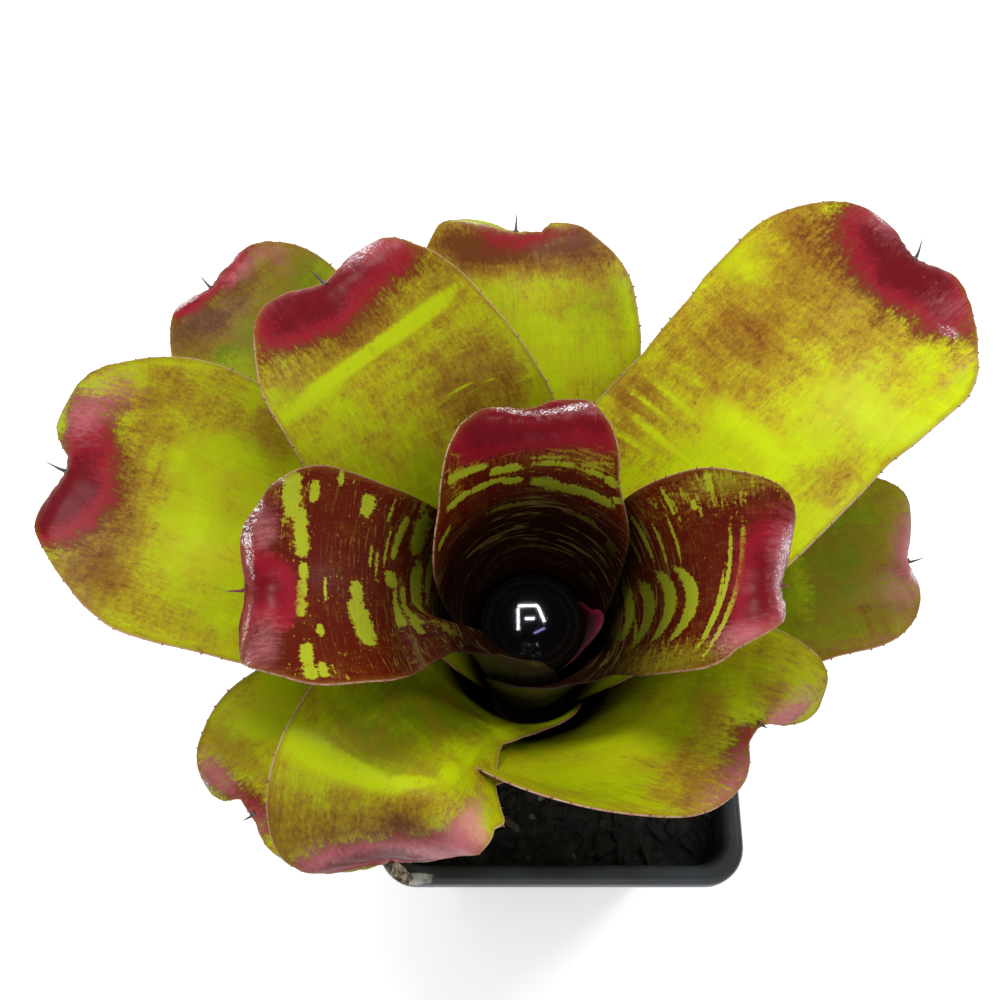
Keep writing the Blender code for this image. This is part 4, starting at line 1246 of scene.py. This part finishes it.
LEFT_OUTER = plan(
    "lime", pigment=[(-8, 15, 16, 5, 0.4), (2, 12, 8, 6, 0.5), (-22, 10, 8, 6, 0.35)],
    blush=[(-8, 8, 10, 5, 0.65), (3, 11, 7, 5, 0.5), (-18, 6, 6, 4, 0.4)],
    rose=[(-12, 8, 8, 4, 0.6), (-20, 7, 6, 5, 0.4), (3, 9, 6, 5, 0.5)],
    olive=[(-20, 13, 12, 5, 0.8), (-12, 17, 8, 4, 0.4)], marks=[(-20, 34, 9, 7, 0.25)],
    gloss=[(-18, 2, 6, 4, 1.0)], light_and_tone=1.2,
)

FAR_LEFT = plan(
    "lime",
    pigment=[(0, 17, 20, 10, 1.0), (-14, 9, 10, 6, 0.5), (18, 16, 12, 9, 0.7), (-24, 22, 8, 12, 0.25)],
    blush=[(-10, 6, 9, 5, 0.8), (10, 6, 9, 5, 0.95), (0, 9, 16, 6, 0.35)],
    rose=[(-10, 10, 10, 4, 0.6), (-22, 16, 6, 8, 0.4)],
    olive=[(-6, 24, 28, 14, 0.9), (-24, 22, 9, 12, 0.4), (16, 22, 12, 12, 0.7)],
    marks=[(14, 34, 7, 7, 0.2)], gloss=[(10, 4, 6, 3, 1.1), (-12, 3, 6, 3, 0.8)], light_and_tone=0.72,
)

RIGHT_OUTER = plan(
    "lime",
    pigment=[(2, 6, 16, 8, 0.55), (-18, 24, 14, 18, 0.42), (-10, 14, 14, 9, 0.3), (-27, 34, 4, 20, 0.4)],
    blush=[(2, 4, 12, 6, 0.5), (-5, 12, 5, 4, 0.35)],
    rose=[(2, 6, 14, 7, 0.9), (-12, 15, 10, 8, 0.5), (-26, 26, 5, 18, 0.35)],
    olive=[(0, 30, 40, 30, 1.0)], marks=[(-4, 44, 12, 4, 0.3, -0.15, 0)], gloss=[(-6, 6, 3, 3, 1.1)],
    light_and_tone=0.85,
)

PLANS = [
    HEART, BACK_INNER, LEFT_INNER, RIGHT_INNER, BACK_MIDDLE, RIGHT_BACK, LEFT_FRONT, LEFT_MIDDLE,
    BACK_OUTER, RIGHT_FRONT, LEFT_OUTER, FAR_LEFT, RIGHT_OUTER,
]


def spots(across, from_end, given):
    """Sum of soft round spots at each point of a leaf."""
    field = 0.0 * across
    for a, e, reach_a, reach_e, amount in given:
        field = field + amount * np.exp(-(((across - a) / reach_a) ** 2) - ((from_end - e) / reach_e) ** 2)
    return field


def marks(across, from_end, given):
    """1 in the middle of the nearest crisp mark, 0 at its edge and less outside."""
    field = -1.0 + 0.0 * across
    for a, e, half_a, half_e, amount, *tilt in given:
        slant, bow = tilt or (0, 0)
        da = across - a
        de = from_end - e - slant * da - bow * da * da
        inside = 1 - np.sqrt((da / half_a) ** 4 + (de / half_e) ** 2)
        field = np.maximum(field, np.where(inside > 0, amount, 1.0) * inside)
    return field

# %% [markdown]
# The leaf finishes.
# Lime blades are a bright yellow green that bronze pigment covers in fine lengthwise strokes and crosswise
# bands. Maroon blades, the younger ones in the middle, are the same leaf with the pigment nearly closed, so
# the lime shows as flecks and short bars across. Both end in a smooth crimson patch, puckered and wet in
# places, where a clear coat shines, with a painted pink sheen and painted glints, nearly white, on the
# puckers' tops. Deep in the rosette every finish is painted darker, as painted shade. The underside is
# duller, with pale crosswise scurf. Every noise is stretched along or across the leaf by the leaf's own
# coordinates, in centimetres.

# %% Leaf colours
LIME = (0.29, 0.335, 0.0012)
BRIGHT_LIME = (0.33, 0.40, 0.0015)
YELLOW_LIME = (0.32, 0.30, 0.004)
LEAF_GREEN = (0.095, 0.125, 0.001)
OLIVE = (0.14, 0.125, 0.003)
OCHRE = (0.25, 0.17, 0.008)
BRONZE = (0.165, 0.078, 0.006)
RUST = (0.085, 0.018, 0.003)
CRIMSON = (0.20, 0.006, 0.014)
DEEP_CRIMSON = (0.085, 0.0015, 0.004)
# Pale pink: partly the leaf ends' own tone, and partly painted sheen where they curve towards the light.
PINK_AND_SHEEN = (0.46, 0.145, 0.16)
MAROON = (0.078, 0.0055, 0.0012)
BRICK = (0.12, 0.026, 0.003)
RUSTY = (0.17, 0.06, 0.006)
TAN = (0.30, 0.165, 0.022)
FLECK = (0.32, 0.29, 0.012)
FRESH_MARK = (0.30, 0.345, 0.014)
# Painted shade: the near-black of the rosette's deep, unlit parts.
PAINTED_SHADE_BLACK = (0.005, 0.0012, 0.0008)
PALE_MARGIN = (0.44, 0.28, 0.19)
SCURF = (0.40, 0.41, 0.32)


def leaf_readings(skin):
    """The numbers that each point of a leaf carries, and the noises that all leaf finishes share."""
    place = skin.attribute("leaf_place")
    pigment, blush, mark = skin.parts(skin.attribute("leaf_colour"))
    to_edge, depth, olive = skin.parts(skin.attribute("leaf_tone"))
    rose, tan, gloss = skin.parts(skin.attribute("leaf_more"))
    light_and_tone, dark, _ = skin.parts(skin.attribute("leaf_shade"))
    return SimpleNamespace(
        place=place, pigment=pigment, blush=blush, mark=mark, to_edge=to_edge, depth=depth, olive=olive,
        rose=rose, tan=tan, gloss=gloss, light_and_tone=light_and_tone, dark=dark,
        mottle=skin.noise(place, (11, 8, 1), detail=5, roughness=0.7),
        strokes=skin.noise(place, (9, 2.6, 1), detail=5, roughness=0.72, distortion=0.3),
        specks=skin.noise(place, (34, 26, 1), detail=2, roughness=0.6),
        bands=skin.noise(place, (0.6, 3.0, 1), detail=4, roughness=0.6, distortion=0.5),
        patches=skin.noise(place, (1.3, 0.9, 1), detail=3, roughness=0.6),
        veins=skin.noise(place, (20, 0.6, 1), detail=2, roughness=0.5, distortion=0.2),
    )


def add_margin(skin, read, pale=PALE_MARGIN, warm=BRONZE):
    """A narrow warm band inside the margin, and a thin pale line along it."""
    skin.lay(warm, skin.total(read.to_edge, (read.strokes, -2.0)), 2.0, 0.1, 0.5)
    line = skin.ease(skin.total(read.to_edge, (read.mottle, -0.5)), 0.42, 0.12, (0, 0.6))
    # The pale line fades out deep in the rosette, under the painted shade.
    line = skin.times(line, skin.ease(read.depth, 0.35, 0.1))
    skin.cover(pale, line)


def surface_relief(skin, read, depth):
    """Lengthwise veins and fine grain."""
    fine = skin.total(0.5, (read.veins, 0.7), (read.strokes, 0.5), (read.mottle, 0.5))
    skin.bump(fine, depth, 0.8)


def coat_and_painted_glints(skin, read):
    """A clear coat, thin on the blade and full on the puckered crests, with a painted pink sheen over them
    and painted glints, nearly white, on their tops.
    """
    beads = skin.noise(read.place, (16, 24, 1), detail=3, roughness=0.65, distortion=0.8)
    lift = skin.times(skin.ease(read.gloss, 0.1, 0.7, (0.04, 1.0)), beads)
    skin.bump(lift, 0.0006, socket="Coat Normal")
    skin.feed(skin.shader, "Coat Weight", skin.ease(read.gloss, 0.2, 0.8, (0.02, 1.0)))
    # Painted sheen in pink, then painted glints nearly white on the tops of the puckers.
    level = skin.total(skin.times(read.gloss, 0.3), (beads, 1.6), (read.strokes, 0.5))
    painted_sheen = skin.times(skin.ease(level, 0.1, 0.5, (0, 0.4)), skin.ease(read.gloss, 0.15, 0.7))
    skin.cover(PINK_AND_SHEEN, painted_sheen)
    painted_glints = skin.times(skin.ease(level, 0.27, 0.42, (0, 0.95)), skin.ease(read.gloss, 0.2, 0.6))
    skin.cover((0.72, 0.66, 0.68), painted_glints)


def lime_blade():
    skin = Finish("lime_blade", LIME, specular_ior_level=0.05, coat_roughness=0.16)
    read = leaf_readings(skin)
    mottle, strokes, specks = read.mottle, read.strokes, read.specks
    bands, patches = read.bands, read.patches
    skin.lay(YELLOW_LIME, patches, 0.38, 0.66)
    skin.lay(BRIGHT_LIME, skin.total(0.5, (patches, -0.6), (bands, 1.3)), 0.48, 0.8, 0.8)
    olive = skin.total(read.olive, (bands, 0.8), (patches, 0.9), (strokes, 0.8), (specks, 0.5))
    green = skin.mix(skin.ease(patches, 0.4, 0.6), LEAF_GREEN, OLIVE)
    skin.lay(green, olive, 0.0, 1.1, 0.92)
    skin.lay(LEAF_GREEN, read.veins, 0.5, 0.75, 0.2)
    level = skin.total(
        read.pigment, (specks, 0.6), (mottle, 0.9), (strokes, 0.8), (patches, 0.9), (bands, 0.8)
    )
    skin.lay(OCHRE, level, 0.02, 0.62, 0.82)
    skin.lay(BRONZE, level, 0.32, 0.95, 0.9)
    skin.lay(RUST, level, 0.75, 1.4, 0.9)
    dots = skin.noise(read.place, (26, 22, 1), detail=1)
    dots = skin.times(skin.ease(dots, 0.66, 0.76, (0, 0.5)), skin.ease(level, 0.0, 0.35))
    skin.cover(RUST, dots)
    mark = skin.total(read.mark, (strokes, 1.3), (mottle, 0.9), (bands, 0.4))
    skin.lay(BRIGHT_LIME, mark, -0.1, 0.55, 0.9)
    # Painted light and tone: the colour so far is scaled by the leaf's brightness factor.
    skin.dim(read.light_and_tone)
    blush = skin.total(read.blush, (strokes, 0.9), (patches, 0.8), (mottle, 0.8), (specks, 0.3))
    skin.lay(RUST, blush, 0.1, 0.6, 0.9)
    skin.lay(CRIMSON, blush, 0.32, 0.9, 0.97)
    skin.lay(DEEP_CRIMSON, blush, 0.85, 1.3, 0.85)
    # Pale pink over the ends: partly their own tone, partly painted sheen.
    skin.lay(PINK_AND_SHEEN, skin.total(read.rose, (strokes, 1.2), (mottle, 0.6)), 0.1, 1.1, 0.75)
    add_margin(skin, read)
    coat_and_painted_glints(skin, read)
    # Painted shade: darker deep in the rosette, and near-black where the leaf lies in deep shadow.
    skin.lay((0.02, 0.008, 0.002), read.depth, 0.3, 1.0, 0.94)
    skin.cover(PAINTED_SHADE_BLACK, skin.times(read.dark, 0.97))
    surface_relief(skin, read, 0.00014)
    rough = skin.ease(skin.total(read.blush, (patches, 0.4)), 0.3, 1.0, (0.5, 0.38))
    return skin.finish(rough)


def maroon_blade():
    skin = Finish("maroon_blade", MAROON, specular_ior_level=0.05, coat_roughness=0.12)
    read = leaf_readings(skin)
    place = read.place
    mottle, strokes, patches = read.mottle, read.strokes, read.patches
    skin.lay(BRICK, skin.total(patches, (strokes, 0.8)), 0.42, 0.95)
    hairs = skin.noise(place, (4, 22, 1), detail=4, roughness=0.65, distortion=0.4)
    flecks = skin.noise(place, (1.4, 8, 1), detail=5, roughness=0.65, distortion=0.6)
    skin.lay(RUSTY, skin.total(hairs, (patches, 0.4)), 0.63, 0.8, 0.5)
    tan = skin.math("SUBTRACT", read.tan, 0.3)
    tan = skin.total(tan, (strokes, 1.2), (mottle, 1.4), (hairs, 0.8))
    skin.lay(RUSTY, tan, 0.05, 0.55, 0.8)
    skin.lay(TAN, tan, 0.45, 0.95, 0.8)
    light = skin.total(skin.times(read.tan, 0.6), (flecks, 1.8), (mottle, 0.8))
    skin.lay(FLECK, light, 0.44, 0.58, 0.8)
    lines = skin.noise(place, (1.5, 17, 1), detail=3, roughness=0.6, distortion=0.6)
    lower = skin.ease(skin.parts(place)[1], 1.6, 4.2, (0.12, 1.0))
    lines = skin.times(skin.ease(skin.total(lines, (mottle, 0.3)), 0.58, 0.66, (0, 0.6)), lower)
    skin.cover((0.22, 0.15, 0.02), lines)
    drops = skin.noise(place, (8, 15, 1), detail=2, roughness=0.6, distortion=0.3)
    near_mark = skin.ease(read.mark, -3.0, -0.2, (0.02, 0.19))
    skin.lay(FLECK, skin.total(near_mark, (drops, 1.0), (mottle, 0.4)), 0.35, 0.42, 0.8)
    olive = skin.total(read.olive, (hairs, 1.2), (mottle, 1.0))
    skin.lay((0.18, 0.175, 0.006), olive, 0.2, 0.8, 0.7)
    mark = skin.total(read.mark, (strokes, 1.3), (mottle, 1.3), (hairs, 0.9))
    skin.lay(RUSTY, mark, -0.15, 0.1, 0.5)
    skin.lay(FRESH_MARK, mark, 0.0, 0.2, 0.92)
    shadow = skin.times(skin.ease(mark, 0.05, 0.3), skin.ease(skin.total(0.5, (flecks, 2.0)), 0.6, 0.9))
    skin.cover((0.17, 0.18, 0.006), skin.times(shadow, 0.55))
    blush = skin.total(read.blush, (strokes, 0.6), (patches, 0.6), (mottle, 0.5))
    skin.lay(CRIMSON, blush, 0.2, 0.7, 0.97)
    skin.lay(DEEP_CRIMSON, blush, 0.75, 1.2, 0.75)
    # Pale pink over the ends: partly their own tone, partly painted sheen.
    rose = skin.total(read.rose, (strokes, 0.8), (mottle, 0.6), (patches, 0.4))
    skin.lay(PINK_AND_SHEEN, rose, 0.15, 1.0, 0.6)
    add_margin(skin, read, pale=(0.30, 0.17, 0.10), warm=RUSTY)
    coat_and_painted_glints(skin, read)
    # Painted shade: near-black deep in the tank.
    skin.lay(PAINTED_SHADE_BLACK, read.depth, -0.05, 0.6, 0.97)
    scales = skin.noise(place, (1.0, 13, 1), detail=4, roughness=0.6, distortion=0.8)
    arcs = skin.noise(place, (0.45, 5.5, 1), detail=4, roughness=0.65, distortion=0.8)
    rings = skin.ease(skin.total(0.0, (scales, 0.9), (arcs, 1.1)), 0.07, 0.22, (0, 0.75))
    rings = skin.times(rings, skin.ease(read.depth, 0.1, 0.4))
    rings = skin.times(rings, skin.ease(read.depth, 1.02, 0.85))
    skin.cover((0.085, 0.058, 0.014), rings)
    # Painted shade where the leaf lies in deep shadow.
    skin.cover(PAINTED_SHADE_BLACK, skin.times(read.dark, 0.97))
    surface_relief(skin, read, 0.00012)
    rough = skin.ease(skin.total(read.blush, (patches, 0.3)), 0.3, 0.9, (0.42, 0.3))
    return skin.finish(rough)


def heart_blade():
    skin = Finish("heart_blade", (0.17, 0.004, 0.02), specular_ior_level=0.15, coat_roughness=0.15)
    read = leaf_readings(skin)
    skin.lay((0.34, 0.035, 0.075), read.strokes, 0.35, 0.65)
    # Painted shade: near-black deep in the tank.
    skin.lay(PAINTED_SHADE_BLACK, read.depth, 0.5, 1.0, 0.95)
    add_margin(skin, read, pale=(0.30, 0.06, 0.09), warm=(0.22, 0.01, 0.03))
    surface_relief(skin, read, 0.0001)
    return skin.finish(0.35)


def blade_underside():
    skin = Finish("leaf_underside", (0.19, 0.24, 0.02), specular_ior_level=0.15)
    read = leaf_readings(skin)
    place = read.place
    skin.lay((0.17, 0.16, 0.03), read.patches, 0.35, 0.7)
    skin.lay((0.09, 0.12, 0.015), read.veins, 0.45, 0.7, 0.3)
    level = skin.total(read.pigment, (read.strokes, 1.0), (read.mottle, 1.0), (read.patches, 0.8))
    skin.lay((0.18, 0.085, 0.035), level, 0.3, 0.9, 0.7)
    inner = skin.total(read.tan, (read.strokes, 1.4), (read.bands, 1.4))
    skin.lay((0.07, 0.014, 0.004), inner, 0.2, 0.8, 0.85)
    blush = skin.total(read.blush, (read.strokes, 0.6), (read.mottle, 0.5))
    skin.lay((0.25, 0.035, 0.05), blush, 0.3, 0.75, 0.85)
    scurf = skin.noise(place, (1.4, 13, 1), detail=4, roughness=0.65, distortion=0.4)
    dots = skin.noise(place, (30, 26, 1), detail=2, roughness=0.7)
    skin.lay(SCURF, skin.total(0.0, (scurf, 1.3), (dots, 0.9)), 0.0, 0.45, 0.45)
    add_margin(skin, read)
    # Painted shade: darker deep in the rosette, and near-black where the leaf lies in deep shadow.
    skin.lay((0.025, 0.009, 0.005), read.depth, 0.4, 1.0, 0.8)
    skin.cover(PAINTED_SHADE_BLACK, skin.times(read.dark, 0.97))
    surface_relief(skin, read, 0.00014)
    return skin.finish(0.62)


def margin_skin():
    skin = Finish("leaf_margin", PALE_MARGIN, specular_ior_level=0.15)
    read = leaf_readings(skin)
    skin.lay((0.36, 0.13, 0.11), read.strokes, 0.35, 0.65)
    skin.lay(BRONZE, read.mottle, 0.5, 0.7, 0.7)
    # Painted shade: the margin goes dark deep in the rosette.
    skin.lay((0.008, 0.003, 0.002), read.depth, 0.0, 0.45, 0.97)
    return skin.finish(0.5)


def horn_skin(name, dark, pale):
    skin = Finish(name, dark, specular_ior_level=0.4)
    streaks = skin.noise(skin.object_place(), (1800, 1800, 700), detail=3)
    skin.lay(pale, streaks, 0.3, 0.7)
    skin.bump(streaks, 0.0001, 0.5)
    return skin.finish(0.45)


UPPER = dict(lime=lime_blade(), maroon=maroon_blade(), heart=heart_blade())
UNDER = blade_underside()
MARGIN = margin_skin()
TOOTH = horn_skin("marginal_tooth", (0.10, 0.025, 0.012), (0.24, 0.09, 0.05))
SPINE = horn_skin("leaf_spine", (0.012, 0.009, 0.008), (0.09, 0.055, 0.045))
RED_SPINE = horn_skin("red_spine", (0.07, 0.006, 0.012), (0.17, 0.02, 0.035))

# %% [markdown]
# From formula to leaf.
# A grid is laid on the formula, gets its colour numbers, and Solidify gives it a body that thins out at
# the margin. The maroon leaves are nearest to the camera and get a finer grid. A plain grid is enough,
# since the formula does the shaping.

# %% Leaf sheet
ROWS = 132
COLUMNS = 56
FINE_ROWS = 190
FINE_COLUMNS = 84
# Between these heights, mm, a leaf is painted darker towards its foot as painted shade: the tank's for
# maroon and heart leaves, the sheaths' for lime ones.
TANK_SHADE = (150.0, 204.0)
SHEATH_SHADE = (112.0, 150.0)
# Where light falls on a leaf, its painted shade of depth falls and its colour is painted brighter, by these
# shares.
LIT_LIFT = 1.3
LIT_GLOW = 1.6
# The margin has this share of the blade's thickness, which it reaches this far in, mm.
EDGE_SHARE = 0.4
EDGE_REACH = 3.0


def skins_of(kind):
    """The slots of every leaf: upper side, underside, margin, teeth, spine."""
    return UPPER[kind], UNDER, MARGIN, TOOTH, RED_SPINE if kind == "maroon" else SPINE


def row_place(x):
    """Rows of points lie closer together toward the leaf's end."""
    return 1 - (1 - x) ** 1.25


def put_attribute(mesh, name, x, y, z):
    values = np.stack([x, y, z], 1).astype(np.float32)
    mesh.attributes.new(name, "FLOAT_VECTOR", "POINT").data.foreach_set("vector", values.ravel())


def margin_order(u, v):
    """Indices of the points round the margin, from the foot's right corner round the end to its left."""
    right = np.where(v < -0.9999)[0]
    end = np.where((u > 0.9999) & (np.abs(v) < 0.9999))[0]
    left = np.where(v > 0.9999)[0]
    return [*right[np.argsort(u[right])], *end[np.argsort(v[end])], *left[np.argsort(-u[left])]]


def distance_to(places, edge):
    tree = kdtree.KDTree(len(edge))
    for index, place in enumerate(edge):
        tree.insert(Vector(place), index)
    tree.balance()
    return np.array([tree.find(Vector(place))[2] for place in places])


def make_sheet(row, order, colours):
    rows, columns = (FINE_ROWS, FINE_COLUMNS) if colours["kind"] == "maroon" else (ROWS, COLUMNS)
    bpy.ops.mesh.primitive_grid_add(x_subdivisions=rows, y_subdivisions=columns, size=2)
    sheet = bpy.context.object
    flat = coordinates(sheet.data)
    u = row_place(flat[:, 0] / 2 + 0.5)
    v = 0.5 * np.sin(flat[:, 1] * math.pi / 2) + 0.5 * flat[:, 1]
    places, across, from_end = leaf_surface(row, order, u, v)
    sheet.data.vertices.foreach_set("co", (places * MM).ravel())
    sheet.data.update()
    edge = margin_order(u, flat[:, 1])
    to_edge = distance_to(places, places[edge])
    # Depth, from the point's height, is how strongly the finishes paint shade there.
    floor, mouth = SHEATH_SHADE if colours["kind"] == "lime" else TANK_SHADE
    depth = 1 - smooth((places[:, 2] - floor) / (mouth - floor))
    field = {name: spots(across, from_end, colours[name]) for name in SPOT_KINDS}
    mark = marks(across, from_end, colours["marks"])
    depth = np.clip(depth - LIT_LIFT * field["lit"], 0, 1)
    put_attribute(sheet.data, "leaf_place", across / 10, from_end / 10, 0 * across + 3.7 * order)
    put_attribute(sheet.data, "leaf_colour", field["pigment"], field["blush"], mark)
    put_attribute(sheet.data, "leaf_tone", to_edge, depth, field["olive"])
    put_attribute(sheet.data, "leaf_more", field["rose"], field["tan"], field["gloss"])
    light_and_tone = colours["light_and_tone"] * (1 + LIT_GLOW * field["lit"])
    put_attribute(sheet.data, "leaf_shade", light_and_tone, np.clip(field["dark"], 0, 1), 0 * across)
    body = sheet.vertex_groups.new(name="body")
    for index, gap in enumerate(to_edge):
        body.add([index], EDGE_SHARE + (1 - EDGE_SHARE) * min(1.0, gap / EDGE_REACH), "REPLACE")
    wall = thicken(sheet, LEAF_THICKNESS)
    wall.vertex_group = "body"
    wall.material_offset = 1
    wall.material_offset_rim = 2
    for skin in skins_of(colours["kind"]):
        sheet.data.materials.append(skin)
    return sheet, places, edge, (u, v)

# %% [markdown]
# Teeth and spine.
# The margin's teeth are small curved cones, modelled once and set along the edge at the few millimetres
# that they have on the plant, each leaning towards the leaf's end. The spine in the notch, dark on the
# lime leaves and red on the maroon ones, is a tapering curve made a mesh. Sheet, teeth and spine are
# joined, because on the plant they are one leaf.

# %% Teeth and spine
TOOTH_LENGTH = 0.85
TOOTH_WIDTH = 0.42
TOOTH_GAPS = (3.0, 5.6)
INNER_LEAVES = 4
# The share of the margin, from its foot, that has no teeth.
INNER_START = 0.29
OUTER_START = 0.16
SPINE_RADIUS = 1.0
SPINE_LENGTH = 7.6
SPINE_SECTIONS = 15


def tooth_template():
    """A slim cone, one unit long, that bends towards +Y on its way up."""
    bpy.ops.mesh.primitive_cone_add(vertices=7, radius1=1.0, radius2=0.06, depth=1.0, location=(0, 0, 0))
    cone = bpy.context.object
    start_editing(cone, "EDGE")
    bpy.ops.mesh.select_all(action="SELECT")
    bpy.ops.mesh.bisect(plane_co=(0, 0, -0.15), plane_no=(0, 0, 1))
    stop_editing()
    for vert in cone.data.vertices:
        rise = vert.co.z + 0.5
        vert.co.y += 1.1 * rise * rise
        vert.co.z = rise
    return cone


def make_teeth(places, edge, grid, shape, rng):
    """Teeth along the margin, from where the sheath opens, each leaning towards the leaf's end."""
    u, v = grid
    ring = places[edge]
    count = len(edge)
    inner = leaf_surface(*shape, np.maximum(u[edge] * 0.985, 0), v[edge] * 0.97, fine=False)[0]
    first = int(count * (INNER_START if shape[1] < INNER_LEAVES else OUTER_START))
    walked, due, matrices = 0.0, 2.0, []
    for index in range(first, count - first):
        ahead = ring[index + 1] - ring[index]
        walked += float(np.linalg.norm(ahead))
        if walked < due:
            continue
        due = walked + rng.uniform(*TOOTH_GAPS)
        outward = ring[index] - inner[index]
        outward = outward / np.linalg.norm(outward)
        side = ahead / np.linalg.norm(ahead) * (1 if index < count / 2 else -1)
        side = side - outward * (side @ outward)
        side = side / np.linalg.norm(side)
        normal = np.cross(side, outward)
        size = rng.uniform(0.7, 1.15)
        axes = [normal * 0.32 * size, side * TOOTH_WIDTH * size, outward * TOOTH_LENGTH * size]
        matrix = Matrix(np.stack(axes, 1) * MM).to_4x4()
        matrix.translation = Vector((ring[index] - 0.25 * outward) * MM)
        matrices.append(matrix)
    return copies_of(tooth_template(), matrices, 0.03, rng)


def make_spine(row, order):
    """The dark spine in the leaf's notch: thick at its foot, and bent up to a fine point."""
    length, turn = row["spine"]
    places = leaf_surface(row, order, np.array((0.97, 1.0)), np.array((0.0, 0.0)), fine=False)[0]
    along = Vector(places[1] - places[0]).normalized()
    heading = math.radians(row["azimuth"] + row["sweep"] + row["yaw"] + turn)
    outward = Vector((math.cos(heading), math.sin(heading), 0.35)).normalized()
    point = Vector(places[1]) - 2.2 * along
    bpy.ops.curve.primitive_nurbs_path_add()
    spine = bpy.context.object
    spine.data.splines.clear()
    spine.data.bevel_depth = SPINE_RADIUS * MM
    spine.data.bevel_resolution = 3
    spine.data.use_fill_caps = True
    spline = spine.data.splines.new("POLY")
    spline.points.add(SPINE_SECTIONS - 1)
    step = SPINE_LENGTH * length / (SPINE_SECTIONS - 1)
    for index, knot in enumerate(spline.points):
        share = index / (SPINE_SECTIONS - 1)
        knot.co = (*(point * MM), 1.0)
        knot.radius = 0.45 * (1 - share) ** 0.7 + 0.55 * (1 - share) ** 3 + 0.05
        point = point + along.lerp(outward, float(smooth(share / 0.6))).normalized() * step
    spine.location = (0, 0, 0)
    select_only(spine)
    bpy.ops.object.convert(target="MESH")
    return bpy.context.object


def with_material(piece, index, kind):
    """Gives a part of a leaf the slots that the leaf has, and one of them to all its faces."""
    piece.data.materials.clear()
    for skin in skins_of(kind):
        piece.data.materials.append(skin)
    piece.data.polygons.foreach_set("material_index", [index] * len(piece.data.polygons))


def make_leaf(order, row, colours):
    rng = np.random.default_rng(100 + order)
    sheet, places, edge, grid = make_sheet(row, order, colours)
    apply_modifiers(sheet)
    parts = []
    if row["teeth"]:
        teeth = make_teeth(places, edge, grid, (row, order), rng)
        with_material(teeth, 3, colours["kind"])
        parts.append(teeth)
    if row["spine"][0]:
        spine = make_spine(row, order)
        with_material(spine, 4, colours["kind"])
        parts.append(spine)
    select_only(sheet)
    for part in parts:
        part.select_set(True)
    if parts:
        bpy.ops.object.join()
    sheet = bpy.context.object
    number = f"{order + 1:02d}"
    finish_piece(sheet, f"leaf_blade_{number}", [f"leaf_{number}"], smooth_below=55)


for order, (row, colours) in enumerate(zip(LEAVES, PLANS)):
    make_leaf(order, row, colours)
